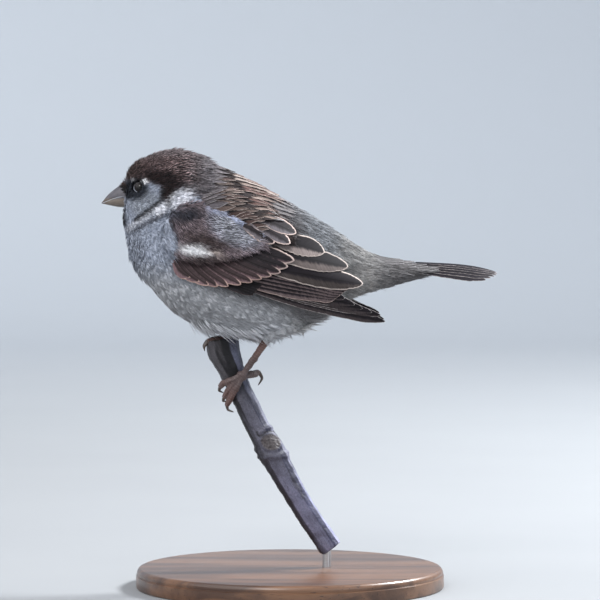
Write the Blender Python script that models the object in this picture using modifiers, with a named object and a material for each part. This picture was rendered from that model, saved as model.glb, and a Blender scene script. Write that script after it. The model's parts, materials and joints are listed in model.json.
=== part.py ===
"""A male house sparrow, life size, perched on a cut twig that a plain display stand holds up.

The bird faces -X with its left side towards -Y. The origin is on the floor, under the middle of the round base.
Lengths in the tables are millimetres, and MM turns them into Blender's metres.
"""

import math

import bmesh
import bpy
import numpy as np
from mathutils import Matrix, Vector
from mathutils.bvhtree import BVHTree

MM = 0.001
GAP = 0.3  # clear space between two solids that meet

# Body: a row of egg-shaped sections from the bill to the tail. Each row is a name, the point (x, z) on the crown
# or back line, the point on the throat or belly line, and half the width there.
BODY = (
    ("bill base", (-57.7, 141.8), (-56.2, 132.8), 4.5),
    ("forehead", (-55.7, 146.5), (-57.7, 131.0), 6.6),
    ("brow", (-52.0, 149.8), (-58.1, 128.6), 8.8),
    ("fore crown", (-46.3, 152.5), (-57.6, 125.2), 10.5),
    ("crown", (-39.5, 153.7), (-56.9, 120.9), 11.8),
    ("nape", (-32.0, 152.0), (-56.1, 115.6), 13.4),
    ("neck", (-24.5, 148.4), (-53.6, 110.4), 16.2),
    ("shoulders", (-15.5, 144.2), (-49.0, 104.6), 19.6),
    ("breast", (-6.0, 139.2), (-42.0, 97.2), 22.2),
    ("middle", (3.0, 133.6), (-31.5, 90.6), 23.2),
    ("belly", (12.3, 127.8), (-17.5, 87.4), 22.0),
    ("loins", (19.5, 122.9), (-5.0, 87.5), 18.6),
    ("vent", (26.5, 118.6), (7.5, 92.0), 14.0),
    ("rump", (33.0, 115.9), (20.5, 100.4), 10.2),
    ("tail coverts", (40.5, 114.5), (33.0, 104.9), 8.0),
    ("tail root", (46.5, 113.8), (44.0, 108.2), 6.8),
)
# Each flesh node takes a stretch of those sections, counted from 0 at the bill base.
FLESH = {"head": (0.0, 4.6, 11), "neck": (4.6, 6.6, 6), "trunk": (6.6, 12.4, 15), "rump": (12.4, 15.0, 7)}
CUT = 0.06  # how many sections a thin cut between two flesh nodes takes
ROUND = 22  # points round a body section
EGG = 0.10  # how much wider a section is below its middle than above it

# Forms that stand out from the side of the body or sink into it: centre (x, z), reach along x and z, height.
SIDE_FORMS = (
    ("ear coverts", (-48.0, 135.5), (8.0, 7.5), 1.3),
    ("brow ridge", (-49.5, 146.0), (6.5, 3.0), 0.7),
    ("eye hollow", (-52.6, 140.4), (3.6, 3.4), -0.8),
    ("lores", (-56.0, 138.6), (3.0, 3.0), -0.7),
)
WING_BED = {"centre": (-7.0, 116.0), "reach": (41.0, 20.0), "tilt": -17.0, "depth": 3.6, "rim": 0.32}

# Bill: lines (x, z) from the base to the tip, and half its width along them.
CULMEN = ((-57.9, 141.3), (-60.6, 139.8), (-63.4, 137.8), (-65.7, 135.1))
CUTTING_EDGE = ((-55.0, 136.6), (-58.6, 136.9), (-62.2, 136.1), (-65.6, 134.8))
GONYS = ((-56.6, 133.3), (-60.0, 133.5), (-63.0, 134.1), (-65.2, 134.5))
BILL_HALF_WIDTHS = (4.0, 3.1, 1.9, 0.35)
BILL_STATIONS, BILL_ARCH = 9, 12
MOUTH = 0.3  # the line between the two halves of the closed bill

EYE = (-52.5, 7.6, 140.5)
EYE_RADIUS = 2.55

# Folded wing: a sheet whose half width is given along x leaves the flank behind the body. Feather groups lie on it
# and on each other in the order of the table below.
SHEET = ((-46.0, 6.0), (-36.0, 12.0), (-26.0, 17.0), (-14.0, 20.6), (-2.0, 21.8), (10.0, 18.4), (22.0, 13.0), (34.0, 8.4))
SHEET_BOW, SHEET_CREST, SHEET_FALLS = 0.022, 108.0, 0.28
SHEET_BLEND = 1.6
VANE = 0.62  # thickness of a feather group
WING_CLEAR = 0.42  # between the body and a group, or between two groups
PATCH = 3.0  # a group rests on the highest thing within this reach
# Each group: its lower edge and its upper edge as points (x, z) that both run from the root to the tip.
WING = {
    "primaries": (
        ((-25.5, 107.0), (-10.0, 102.3), (12.3, 97.2), (23.5, 95.2), (32.5, 93.6)),
        ((-17.5, 113.6), (5.0, 110.5), (19.5, 105.6), (27.6, 99.4), (32.9, 94.4)),
    ),
    "secondaries": (
        ((-23.0, 107.3), (-9.8, 104.2), (4.0, 102.4), (13.5, 102.2), (18.6, 103.4)),
        ((-14.0, 116.6), (-3.0, 115.0), (6.0, 112.6), (14.0, 109.2), (19.4, 105.0)),
    ),
    "tertials": (
        ((-9.8, 113.0), (3.5, 109.0), (12.5, 106.8), (20.0, 106.2), (24.6, 107.4)),
        ((-3.0, 124.4), (6.0, 122.2), (13.5, 118.6), (20.5, 114.2), (25.4, 108.8)),
    ),
    "greater_coverts": (
        ((-38.0, 112.2), (-30.5, 107.2), (-22.0, 105.9), (-10.5, 108.4), (1.6, 115.2)),
        ((-39.6, 116.6), (-30.5, 118.6), (-19.0, 120.6), (-7.0, 121.8), (2.8, 119.2)),
    ),
    "shoulder": (
        ((-43.6, 121.2), (-38.5, 116.4), (-29.0, 115.0), (-19.0, 117.2), (-8.6, 120.6)),
        ((-43.0, 128.6), (-37.5, 133.6), (-28.5, 135.0), (-18.0, 130.8), (-8.4, 122.8)),
    ),
    "scapulars": (
        ((-30.2, 133.4), (-22.0, 132.2), (-13.5, 126.6), (-6.0, 121.8), (1.8, 120.6)),
        ((-29.4, 137.0), (-20.0, 139.2), (-10.5, 135.8), (-2.5, 129.8), (2.6, 124.6)),
    ),
}
WING_ALONG, WING_ACROSS = 10, 5  # points along and across a group

# Tail: a closed, slightly arched fan.
TAIL_LINE = ((47.0, 113.9), (56.0, 113.7), (66.0, 112.9), (73.0, 111.4))
TAIL_HALF_WIDTHS = (8.0, 9.0, 10.4, 11.2)
TAIL_ARCH = 3.4  # how far the outer feathers lie below the middle pair
TAIL_THICK = 1.3
TAIL_NOTCH, TAIL_CORNER = 2.6, 1.3  # how much shorter the middle and the outermost feathers are
TAIL_ALONG, TAIL_ACROSS = 7, 12

# Twig: centreline points (x, z) from the cut top down to the cut foot, and the radius at each.
TWIG = (
    ((-23.9, 85.8), 5.6),
    ((-23.3, 82.7), 5.7),
    ((-21.4, 78.6), 5.0),
    ((-18.3, 71.2), 4.2),
    ((-13.2, 60.2), 4.2),
    ((-9.0, 52.0), 4.4),
    ((-6.6, 47.6), 5.1),
    ((-4.2, 43.2), 4.7),
    ((-0.4, 36.4), 4.3),
    ((7.0, 24.2), 4.0),
    ((14.6, 13.4), 4.1),
)
TWIG_SPACING = 3.2

BASE_RADIUS, BASE_THICK, BASE_CHAMFER = 54.0, 7.0, 1.2
ROD = {"x": 12.9, "radius": 1.5, "in_base": 4.0, "in_twig": 5.0}

# Legs. The toes of the left foot are set by (mm down the twig, degrees round it from the side that faces -Y,
# clear height over the bark); those of the right foot, on the twig's cut top, by plain points.
TOE_RADIUS, TOE_TIP_RADIUS, PAD_RADIUS = 0.95, 0.74, 1.45
LEFT_PAD = (-0.4, -27.0, 0.55)
LEFT_FOOT_DOWN = 13.6  # how far down the twig the left foot grips
LEFT_TOES = {
    "hallux": ((0.4, -54.0, 0.25), (0.9, -76.0, 1.3), (1.2, -88.0, 2.7)),
    "inner": ((-0.3, 8.0, 0.1), (-0.5, 42.0, 0.1), (0.2, 78.0, 0.2)),
    "middle": ((1.0, 8.0, 0.1), (2.6, 44.0, 0.1), (4.0, 78.0, 0.5)),
    "outer": ((2.2, 4.0, 0.1), (4.8, 40.0, 0.1), (6.8, 78.0, 0.9)),
}
LEFT_CLAWS = {
    "hallux": ((1.8, -93.0, 3.4), (3.6, -96.0, 3.2), (5.2, -99.0, 1.4)),
    "inner": ((0.7, 88.0, 0.7), (1.5, 97.0, 1.4), (2.6, 106.0, 0.9)),
    "middle": ((4.7, 88.0, 1.3), (5.3, 97.0, 1.7), (6.0, 106.0, 1.0)),
    "outer": ((7.5, 86.0, 1.5), (8.7, 84.0, 1.4), (9.9, 68.0, 0.5)),
}
LEFT_HEEL = (-7.5, -7.2, 88.0)
RIGHT_PAD = (-20.4, 1.6, 88.4)
RIGHT_TOES = {
    "hallux": ((-19.6, 3.6, 88.3), (-19.3, 5.4, 87.7), (-19.7, 6.1, 86.4)),
    "inner": ((-23.2, 0.0, 87.35), (-26.2, -1.2, 86.75), (-28.6, -2.0, 86.25)),
    "middle": ((-23.6, 1.8, 87.3), (-26.8, 2.0, 86.7), (-28.9, 2.0, 86.25)),
    "outer": ((-23.0, 3.8, 87.4), (-25.6, 4.8, 86.95), (-27.6, 5.6, 86.4)),
}
RIGHT_CLAWS = {
    "hallux": ((-20.0, 6.1, 85.5), (-20.4, 6.2, 84.5), (-21.0, 6.1, 83.5)),
    "inner": ((-29.3, -2.3, 85.6), (-29.9, -2.5, 84.7), (-29.9, -2.6, 83.5)),
    "middle": ((-29.7, 2.0, 85.6), (-30.2, 2.0, 84.6), (-30.0, 2.0, 83.4)),
    "outer": ((-28.3, 5.6, 85.7), (-28.8, 5.8, 84.8), (-28.7, 5.9, 83.7)),
}
RIGHT_HEEL = (-16.0, 4.4, 95.4)
THIGHS = {
    "left": {"centre": (-3.2, -8.6, 91.2), "reach": (8.6, 5.6, 7.8), "tilt": -12.0},
    "right": {"centre": (-11.0, 8.2, 93.0), "reach": (8.2, 5.6, 6.8), "tilt": -12.0},
}
SHANK_RADII = (0.95, 1.0, 0.95, 1.1, 1.4)  # from the foot up
SHANK_IN_BODY = 2.4  # how far a shank goes into its pocket in the belly
CLAW_RADII = (0.58, 0.46, 0.24)
BELLY_POCKET = {"centre": (-21.0, 2.2, 88.0), "reach": (10.0, 7.6, 5.4)}

COLOURS = {
    "head": (0.10, 0.062, 0.045),
    "neck": (0.17, 0.15, 0.14),
    "trunk": (0.30, 0.29, 0.28),
    "rump": (0.22, 0.21, 0.19),
    "bill": (0.27, 0.22, 0.17),
    "eye": (0.008, 0.006, 0.005),
    "primaries": (0.05, 0.038, 0.032),
    "secondaries": (0.11, 0.075, 0.052),
    "tertials": (0.10, 0.066, 0.046),
    "greater_coverts": (0.13, 0.062, 0.034),
    "shoulder": (0.15, 0.065, 0.036),
    "scapulars": (0.20, 0.13, 0.085),
    "tail": (0.07, 0.056, 0.047),
    "leg": (0.21, 0.115, 0.085),
    "claw": (0.035, 0.024, 0.019),
    "bark": (0.085, 0.078, 0.084),
    "wood": (0.10, 0.046, 0.020),
    "steel": (0.45, 0.45, 0.46),
}
ROUGHNESS = {"bill": 0.38, "eye": 0.05, "leg": 0.5, "claw": 0.35, "wood": 0.35, "steel": 0.3}
FEATHER_ROUGHNESS = 0.8


# ---------------------------------------------------------------- curves and tables


def along(points, t):
    """The point at t, from 0 to 1, on a smooth curve through the points."""
    points = np.asarray(points, float)
    t = min(max(t, 0.0), 1.0) * (len(points) - 1)
    i = min(int(t), len(points) - 2)
    f = t - i
    before = points[i - 1] if i else 2 * points[0] - points[1]
    after = points[i + 2] if i + 2 < len(points) else 2 * points[-1] - points[-2]
    a, b = points[i], points[i + 1]
    bend = 2 * before - 5 * a + 4 * b - after
    twist = 3 * (a - b) + after - before
    return a + 0.5 * f * ((b - before) + f * (bend + f * twist))


def resampled(points, count):
    return [along(points, i / (count - 1)) for i in range(count)]


BODY_TABLE = np.array([[*top, *bottom, half] for _, top, bottom, half in BODY])


# ---------------------------------------------------------------- body surface


def side_form(x, z):
    """How far the body's side stands out at (x, z) beyond its plain section."""
    out = 0.0
    for _, centre, reach, height in SIDE_FORMS:
        off = ((x - centre[0]) / reach[0]) ** 2 + ((z - centre[1]) / reach[1]) ** 2
        out += height * math.exp(-off)
    tilt = math.radians(WING_BED["tilt"])
    dx, dz = x - WING_BED["centre"][0], z - WING_BED["centre"][1]
    u = (dx * math.cos(tilt) + dz * math.sin(tilt)) / WING_BED["reach"][0]
    v = (dz * math.cos(tilt) - dx * math.sin(tilt)) / WING_BED["reach"][1]
    inside = min(max((1.0 - math.hypot(u, v)) / WING_BED["rim"], 0.0), 1.0)
    return out - WING_BED["depth"] * inside * inside * (3 - 2 * inside)


def body_point(section, angle):
    """A point of the body's outline. The angle is 0 on the back and pi on the belly, by way of the left side."""
    top_x, top_z, low_x, low_z, half = along(BODY_TABLE, section / (len(BODY_TABLE) - 1))
    level, side = math.cos(angle), math.sin(angle)
    x = (top_x + low_x + level * (top_x - low_x)) / 2
    z = (top_z + low_z + level * (top_z - low_z)) / 2
    x += 2.4 * side * side * max(0.0, 1.0 - section)  # the feathers reach back to the corner of the mouth
    y = -(half * (1 - EGG * level) + side_form(x, z) * abs(side)) * side
    return Vector((x, y, z))


def body_rings(first, last, count):
    sections = np.linspace(first, last, count)
    turn = [2 * math.pi * i / ROUND for i in range(ROUND)]
    return [[body_point(section, angle) for angle in turn] for section in sections]


# ---------------------------------------------------------------- making objects


def clear_scene():
    for obj in list(bpy.data.objects):
        bpy.data.objects.remove(obj)


def new_collection(name):
    made = bpy.data.collections.new(name)
    bpy.context.scene.collection.children.link(made)
    return made


def finish_of(name):
    """One material for each finish, made when it is first asked for."""
    made = bpy.data.materials.get(name)
    if made:
        return made
    made = bpy.data.materials.new(name)
    made.use_nodes = True
    shader = made.node_tree.nodes["Principled BSDF"]
    shader.inputs["Base Color"].default_value = (*COLOURS[name], 1.0)
    shader.inputs["Roughness"].default_value = ROUGHNESS.get(name, FEATHER_ROUGHNESS)
    shader.inputs["Metallic"].default_value = 1.0 if name == "steel" else 0.0
    return made


def add_mesh(name, mesh_builder, finish, helper=False):
    """Links what a bmesh holds, in millimetres, as an object."""
    bmesh.ops.recalc_face_normals(mesh_builder, faces=mesh_builder.faces)
    bmesh.ops.scale(mesh_builder, vec=(MM, MM, MM), verts=mesh_builder.verts)
    mesh = bpy.data.meshes.new(name)
    mesh_builder.to_mesh(mesh)
    mesh_builder.free()
    mesh.shade_smooth()
    mesh.set_sharp_from_angle(angle=math.radians(50))
    obj = bpy.data.objects.new(name, mesh)
    if helper:
        obj.hide_render = True
        obj.display_type = "WIRE"
        CUTTERS.objects.link(obj)
    else:
        mesh.materials.append(finish_of(finish))
        SPARROW.objects.link(obj)
    return obj


def loft(rings, cap_middles=(None, None)):
    """A closed skin over rings of equal length. A cap is flat, or a fan to the middle given for it."""
    built = bmesh.new()
    rows = [[built.verts.new(p) for p in ring] for ring in rings]
    for a, b in zip(rows, rows[1:]):
        for i in range(len(a)):
            j = (i + 1) % len(a)
            built.faces.new((a[i], a[j], b[j], b[i]))
    for row, middle in zip((rows[0], rows[-1]), cap_middles):
        if middle is None:
            built.faces.new(row)
            continue
        centre = built.verts.new(middle)
        for i in range(len(row)):
            built.faces.new((row[i], row[(i + 1) % len(row)], centre))
    return built


def cut(obj, cutter, operation="DIFFERENCE"):
    modifier = obj.modifiers.new(f"{operation.lower()} {cutter.name}", "BOOLEAN")
    modifier.operation = operation
    modifier.solver = "EXACT"
    modifier.object = cutter


def ball(name, centre, reach, finish=None, helper=False, around=20, up=12, tilt=0.0):
    """An egg with its reach along x, y and z, tipped by some degrees about y."""
    built = bmesh.new()
    bmesh.ops.create_uvsphere(built, u_segments=around, v_segments=up, radius=1.0)
    bmesh.ops.scale(built, vec=reach, verts=built.verts)
    bmesh.ops.rotate(built, matrix=Matrix.Rotation(math.radians(tilt), 3, "Y"), verts=built.verts)
    bmesh.ops.translate(built, vec=centre, verts=built.verts)
    return add_mesh(name, built, finish, helper)


def cylinder(name, low, high, radius, finish=None, helper=False, around=24):
    """A straight round bar between two points."""
    axis = Vector(high) - Vector(low)
    place = Matrix.Translation((Vector(low) + Vector(high)) / 2) @ axis.to_track_quat("Z", "Y").to_matrix().to_4x4()
    built = bmesh.new()
    bmesh.ops.create_cone(
        built, cap_ends=True, segments=around, radius1=radius, radius2=radius, depth=axis.length, matrix=place
    )
    return add_mesh(name, built, finish, helper)


def tube_mesh(points, radii, sides_step):
    """A mesh of a bevelled curve through the points, with its caps welded."""
    curve = bpy.data.curves.new("tube", "CURVE")
    curve.dimensions = "3D"
    curve.bevel_depth = MM
    curve.bevel_resolution = sides_step
    curve.use_fill_caps = True
    spline = curve.splines.new("POLY")
    spline.points.add(len(points) - 1)
    for point, place, radius in zip(spline.points, points, radii):
        point.co = (*(Vector(place) * MM), 1.0)
        point.radius = radius
    guide = bpy.data.objects.new("tube", curve)
    bpy.context.scene.collection.objects.link(guide)
    graph = bpy.context.evaluated_depsgraph_get()
    mesh = bpy.data.meshes.new_from_object(guide.evaluated_get(graph))
    bpy.data.objects.remove(guide)
    built = bmesh.new()
    built.from_mesh(mesh)
    bpy.data.meshes.remove(mesh)
    bmesh.ops.remove_doubles(built, verts=built.verts, dist=0.00001)
    bmesh.ops.scale(built, vec=(1 / MM, 1 / MM, 1 / MM), verts=built.verts)
    return built


def tube(name, points, radii, finish=None, helper=False, sides_step=1):
    return add_mesh(name, tube_mesh(points, radii, sides_step), finish, helper)


# ---------------------------------------------------------------- body, bill and eyes


def add_flesh():
    made = {}
    for name, (first, last, rings) in FLESH.items():
        start = first + (CUT / 2 if name != "head" else 0.0)
        end = last - (CUT / 2 if name != "rump" else 0.0)
        mouth = Vector((-54.3, 0.0, 137.0)) if name == "head" else None
        made[name] = add_mesh(name, loft(body_rings(start, end, rings), (mouth, None)), name)
    return made


def bill_half(name, outer_line, side):
    """One half of the bill: an arch from the cutting edge to its outer line. Side is 1 for the upper half."""
    rings = []
    for i in range(BILL_STATIONS):
        t = i / (BILL_STATIONS - 1)
        edge, outer = along(CUTTING_EDGE, t), along(outer_line, t)
        half = along(np.array(BILL_HALF_WIDTHS)[:, None], t)[0]
        middle = Vector((edge[0], 0.0, edge[1] + side * MOUTH / 2))
        rise = Vector((outer[0], 0.0, outer[1])) - middle
        ring = []
        for k in range(BILL_ARCH + 1):
            angle = math.pi * k / BILL_ARCH
            ring.append(middle + rise * math.sin(angle) ** 0.9 + Vector((0.0, half * math.cos(angle), 0.0)))
        rings.append(ring)
    shift = Vector((-GAP, 0.0, 0.0))
    return add_mesh(name, loft([[p + shift for p in ring] for ring in rings]), "bill")


def add_eyes(head):
    for name, side in (("left", -1), ("right", 1)):
        centre = (EYE[0], side * EYE[1], EYE[2])
        ball(f"eye_{name}", centre, (EYE_RADIUS,) * 3, "eye", around=14, up=8)
        cut(head, ball(f"eye socket {name}", centre, (EYE_RADIUS + GAP,) * 3, helper=True, around=14, up=8))


# ---------------------------------------------------------------- wings


class Flank:
    """The left side of the body and its wing sheet as a map of half widths, and what already lies on it."""

    SPAN = (-52, 42, 84, 152)  # x and z limits of the map, in cells of a millimetre

    def __init__(self):
        x0, x1, z0, z1 = self.SPAN
        self.cells = [(x, z) for x in range(x0, x1 + 1) for z in range(z0, z1 + 1)]
        self.shape = (x1 - x0 + 1, z1 - z0 + 1)
        rings = body_rings(0.0, len(BODY_TABLE) - 1, 46)
        points = [p for ring in rings for p in ring]
        quads = [
            (r * ROUND + i, r * ROUND + (i + 1) % ROUND, (r + 1) * ROUND + (i + 1) % ROUND, (r + 1) * ROUND + i)
            for r in range(len(rings) - 1)
            for i in range(ROUND)
        ]
        body = self.side_view(points, quads)
        sheet = np.array([self.sheet(x, z) for x, z in self.cells]).reshape(self.shape)
        self.ground = SHEET_BLEND * np.logaddexp(body / SHEET_BLEND, sheet / SHEET_BLEND)
        self.pile = np.zeros(self.shape)

    @staticmethod
    def sheet(x, z):
        half = np.interp(x, [row[0] for row in SHEET], [row[1] for row in SHEET])
        return half - SHEET_BOW * (z - SHEET_CREST + SHEET_FALLS * x) ** 2

    def side_view(self, points, faces):
        """How far each cell of a mesh stands out to the left, and 0 where the mesh isn't."""
        tree = BVHTree.FromPolygons(points, faces)
        hits = [tree.ray_cast(Vector((x, -90.0, z)), Vector((0.0, 1.0, 0.0)))[0] for x, z in self.cells]
        return np.array([max(-hit.y, 0.0) if hit else 0.0 for hit in hits]).reshape(self.shape)

    def read(self, chart, x, z):
        """A chart's value between its cells."""
        u = min(max(x - self.SPAN[0], 0.0), self.shape[0] - 1.001)
        v = min(max(z - self.SPAN[2], 0.0), self.shape[1] - 1.001)
        i, j = int(u), int(v)
        f, g = u - i, v - j
        near, far = chart[i : i + 2, j] @ (1 - f, f), chart[i : i + 2, j + 1] @ (1 - f, f)
        return near * (1 - g) + far * g

    def pile_near(self, x, z):
        i, j = round(x - self.SPAN[0]), round(z - self.SPAN[2])
        reach = int(PATCH)
        return self.pile[max(i - reach, 0) : i + reach + 1, max(j - reach, 0) : j + reach + 1].max()

    def lay(self, points, faces):
        """Adds a group's outer face to what lies on the flank."""
        out = self.side_view(points, faces)
        self.pile = np.maximum(self.pile, np.where(out > 0, out - self.ground, 0.0))


def evened(heights):
    """A grid of heights, each raised to the mean of its neighbours where that is higher."""
    padded = np.pad(heights, 1, mode="edge")
    mean = (padded[:-2, 1:-1] + padded[2:, 1:-1] + padded[1:-1, :-2] + padded[1:-1, 2:]) / 4
    return np.maximum(heights, mean)


def feather_group(flank, lower, upper):
    """The inner and outer points of a thin solid for one group of wing feathers, laid on the flank, with its faces."""
    places = np.empty((WING_ALONG, WING_ACROSS, 2))
    heights = np.empty((WING_ALONG, WING_ACROSS))
    for i, j in np.ndindex(heights.shape):
        t, across = i / (WING_ALONG - 1), j / (WING_ACROSS - 1)
        low, high = along(lower, t), along(upper, t)
        places[i, j] = low + (high - low) * across
        heights[i, j] = flank.pile_near(*places[i, j]) + WING_CLEAR
    heights = evened(evened(heights))
    ground = [flank.read(flank.ground, x, z) for x, z in places.reshape(-1, 2)]
    inner = [
        Vector((x, -(depth + height), z))
        for (x, z), depth, height in zip(places.reshape(-1, 2), ground, heights.ravel())
    ]
    outer = [p + Vector((0.0, -VANE, 0.0)) for p in inner]
    quads = [
        (i * WING_ACROSS + j, i * WING_ACROSS + j + 1, (i + 1) * WING_ACROSS + j + 1, (i + 1) * WING_ACROSS + j)
        for i in range(WING_ALONG - 1)
        for j in range(WING_ACROSS - 1)
    ]
    return inner, outer, quads


def thin_solid(name, inner, outer, quads, side, finish):
    """A solid between two sheets of points that share one set of faces. Side is 1 for the mirrored one."""
    built = bmesh.new()
    flip = Vector((1, -side, 1))
    low, high = ([built.verts.new(p * flip) for p in sheet] for sheet in (inner, outer))
    counts = {}
    for quad in quads:
        built.faces.new([low[k] for k in quad])
        built.faces.new([high[k] for k in reversed(quad)])
        for a, b in zip(quad, (*quad[1:], quad[0])):
            counts[frozenset((a, b))] = counts.get(frozenset((a, b)), 0) + 1
    for edge, count in counts.items():
        if count == 1:
            a, b = edge
            built.faces.new((low[a], low[b], high[b], high[a]))
    return add_mesh(name, built, finish)


def add_wings():
    flank = Flank()
    for group, (lower, upper) in WING.items():
        inner, outer, quads = feather_group(flank, lower, upper)
        flank.lay(outer, quads)
        for name, side in (("left", -1), ("right", 1)):
            thin_solid(f"wing_{name}_{group}", inner, outer, quads, side, group)


def add_tail():
    built = bmesh.new()
    bmesh.ops.create_grid(built, x_segments=TAIL_ALONG, y_segments=TAIL_ACROSS, size=1.0)
    for vert in built.verts:
        t, across = (vert.co.x + 1) / 2, vert.co.y
        x, z = along(TAIL_LINE, t)
        half = along(np.array(TAIL_HALF_WIDTHS)[:, None], t)[0]
        outer = abs(across)
        shorter = TAIL_NOTCH * max(0.0, 1 - outer / 0.55) ** 1.5 + TAIL_CORNER * max(0.0, outer - 0.75) / 0.25
        x -= shorter * t**3
        vert.co = (x, across * half, z - TAIL_ARCH * outer**1.7)
    made = bmesh.ops.extrude_face_region(built, geom=built.faces[:])["geom"]
    pushed = [v for v in made if isinstance(v, bmesh.types.BMVert)]
    bmesh.ops.translate(built, vec=(0, 0, -TAIL_THICK), verts=pushed)
    return add_mesh("tail", built, "tail")


# ---------------------------------------------------------------- twig and stand


def twig_line():
    """Centreline points and radii of the twig, a few millimetres apart."""
    points = np.array([[x, 0.0, z, radius] for (x, z), radius in TWIG])
    length = sum(np.linalg.norm(b[:3] - a[:3]) for a, b in zip(points, points[1:]))
    return np.array(resampled(points, int(length / TWIG_SPACING) + 1))


def on_twig(down, degrees, clear):
    """A point outside the bark: down the twig from its top, and round it from -Y towards -X."""
    line = twig_line()
    steps = np.linalg.norm(np.diff(line[:, :3], axis=0), axis=1)
    travelled = np.concatenate([[0.0], np.cumsum(steps)])
    x, _, z, radius = (np.interp(down, travelled, line[:, k]) for k in range(4))
    i = min(int(np.searchsorted(travelled, down)), len(line) - 1)
    axis = Vector(line[i][:3] - line[max(i - 1, 0)][:3]).normalized()
    front = Vector((0.0, -1.0, 0.0))
    left = axis.cross(front).normalized()
    angle = math.radians(degrees)
    outwards = front * math.cos(angle) + left * math.sin(angle)
    if left.x > 0:
        outwards = front * math.cos(angle) - left * math.sin(angle)
    return Vector((x, 0.0, z)) + outwards * (radius + clear)


def add_twig():
    line = twig_line()
    twig = tube("perch", [row[:3] for row in line], [row[3] for row in line], "bark", sides_step=4)
    foot_z = TWIG[-1][0][1]
    hole_low = (ROD["x"], 0.0, foot_z - 8.0)
    hole_high = (ROD["x"], 0.0, foot_z + ROD["in_twig"] + GAP)
    cut(twig, cylinder("rod hole", hole_low, hole_high, ROD["radius"] + GAP, helper=True))
    return twig


def add_stand():
    base = cylinder("stand_base", (0, 0, 0), (0, 0, BASE_THICK), BASE_RADIUS, "wood", around=48)
    edge = base.modifiers.new("chamfer", "BEVEL")
    edge.width = BASE_CHAMFER * MM
    edge.segments = 1
    edge.limit_method = "ANGLE"
    socket_low = (ROD["x"], 0, BASE_THICK - ROD["in_base"] - GAP)
    socket_high = (ROD["x"], 0, BASE_THICK + 5)
    cut(base, cylinder("rod socket", socket_low, socket_high, ROD["radius"] + GAP, helper=True))
    rod_low = (ROD["x"], 0, BASE_THICK - ROD["in_base"])
    rod_high = (ROD["x"], 0, TWIG[-1][0][1] + ROD["in_twig"])
    cylinder("stand_rod", rod_low, rod_high, ROD["radius"], "steel")


# ---------------------------------------------------------------- legs


def add_foot(name, pad, toes, claws):
    """The pad and its four toes as one solid, and a claw beyond the end of each toe."""
    foot = ball(f"foot_{name}", pad, (PAD_RADIUS,) * 3, "leg", around=12, up=8)
    for toe, points in toes.items():
        line = resampled([pad, *points], 7)
        radii = np.linspace(TOE_RADIUS, TOE_TIP_RADIUS, len(line))
        cut(foot, tube(f"toe {name} {toe}", line, radii, helper=True), "UNION")
        end = Vector(line[-1])
        start = Vector(claws[toe][0])
        start = end + (start - end).normalized() * max(GAP + 0.05, (start - end).length * 0.4)
        nail = resampled([start, *claws[toe][1:]], 5)
        sizes = [along(np.array(CLAW_RADII)[:, None], i / 4)[0] for i in range(5)]
        tube(f"claw_{name}_{toe}", nail, sizes, "claw")
    return foot


def add_thigh(name, trunk):
    form = THIGHS[name]
    thigh = ball(f"thigh_{name}", form["centre"], form["reach"], "trunk", around=12, up=8, tilt=form["tilt"])
    room = [reach + GAP for reach in form["reach"]]
    cut(trunk, ball(f"thigh room {name}", form["centre"], room, helper=True, around=12, up=8, tilt=form["tilt"]))
    return thigh


def add_shank(name, pad, heel, bodies):
    """The bare shank from the foot's pad into a pocket in the belly and thigh."""
    pad, heel = Vector(pad), Vector(heel)
    way = (heel - pad).normalized()
    low = pad + way * (PAD_RADIUS + 2 * GAP)
    high = heel + way * SHANK_IN_BODY
    count = len(SHANK_RADII)
    line = [low.lerp(high, i / (count - 1)) for i in range(count)]
    tube(f"shank_{name}", line, SHANK_RADII, "leg")
    pocket = cylinder(f"shank pocket {name}", low, high + way * 0.4, max(SHANK_RADII) + GAP, helper=True, around=14)
    for body in bodies:
        cut(body, pocket)


def add_legs(trunk):
    left = lambda spot: on_twig(LEFT_FOOT_DOWN + spot[0], spot[1], spot[2] + TOE_RADIUS + GAP)
    pad = left(LEFT_PAD)
    toes = {toe: [left(p) for p in points] for toe, points in LEFT_TOES.items()}
    claws = {toe: [left(p) for p in points] for toe, points in LEFT_CLAWS.items()}
    add_foot("left", pad, toes, claws)
    add_foot("right", RIGHT_PAD, RIGHT_TOES, RIGHT_CLAWS)
    belly_pocket = ball("belly pocket", BELLY_POCKET["centre"], BELLY_POCKET["reach"], helper=True)
    for name, foot_pad, heel in (("left", pad, LEFT_HEEL), ("right", RIGHT_PAD, RIGHT_HEEL)):
        thigh = add_thigh(name, trunk)
        cut(thigh, belly_pocket)
        add_shank(name, foot_pad, heel, (trunk, thigh))
    cut(trunk, belly_pocket)


clear_scene()
SPARROW = new_collection("house sparrow")
CUTTERS = new_collection("cutters")
flesh = add_flesh()
bill_half("bill_upper", CULMEN, 1)
bill_half("bill_lower", GONYS, -1)
add_eyes(flesh["head"])
add_wings()
add_tail()
add_twig()
add_stand()
add_legs(flesh["trunk"])
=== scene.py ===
"""The looks of a life-size still model of a male house sparrow on a cut twig, over a round display base.

The bird faces -X, and its left side faces -Y. Lengths are millimetres, and MM turns them into metres.
"""

import json
import math
from contextlib import contextmanager

import bmesh
import bpy
import numpy as np
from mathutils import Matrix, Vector, noise
from mathutils.bvhtree import BVHTree

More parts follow.
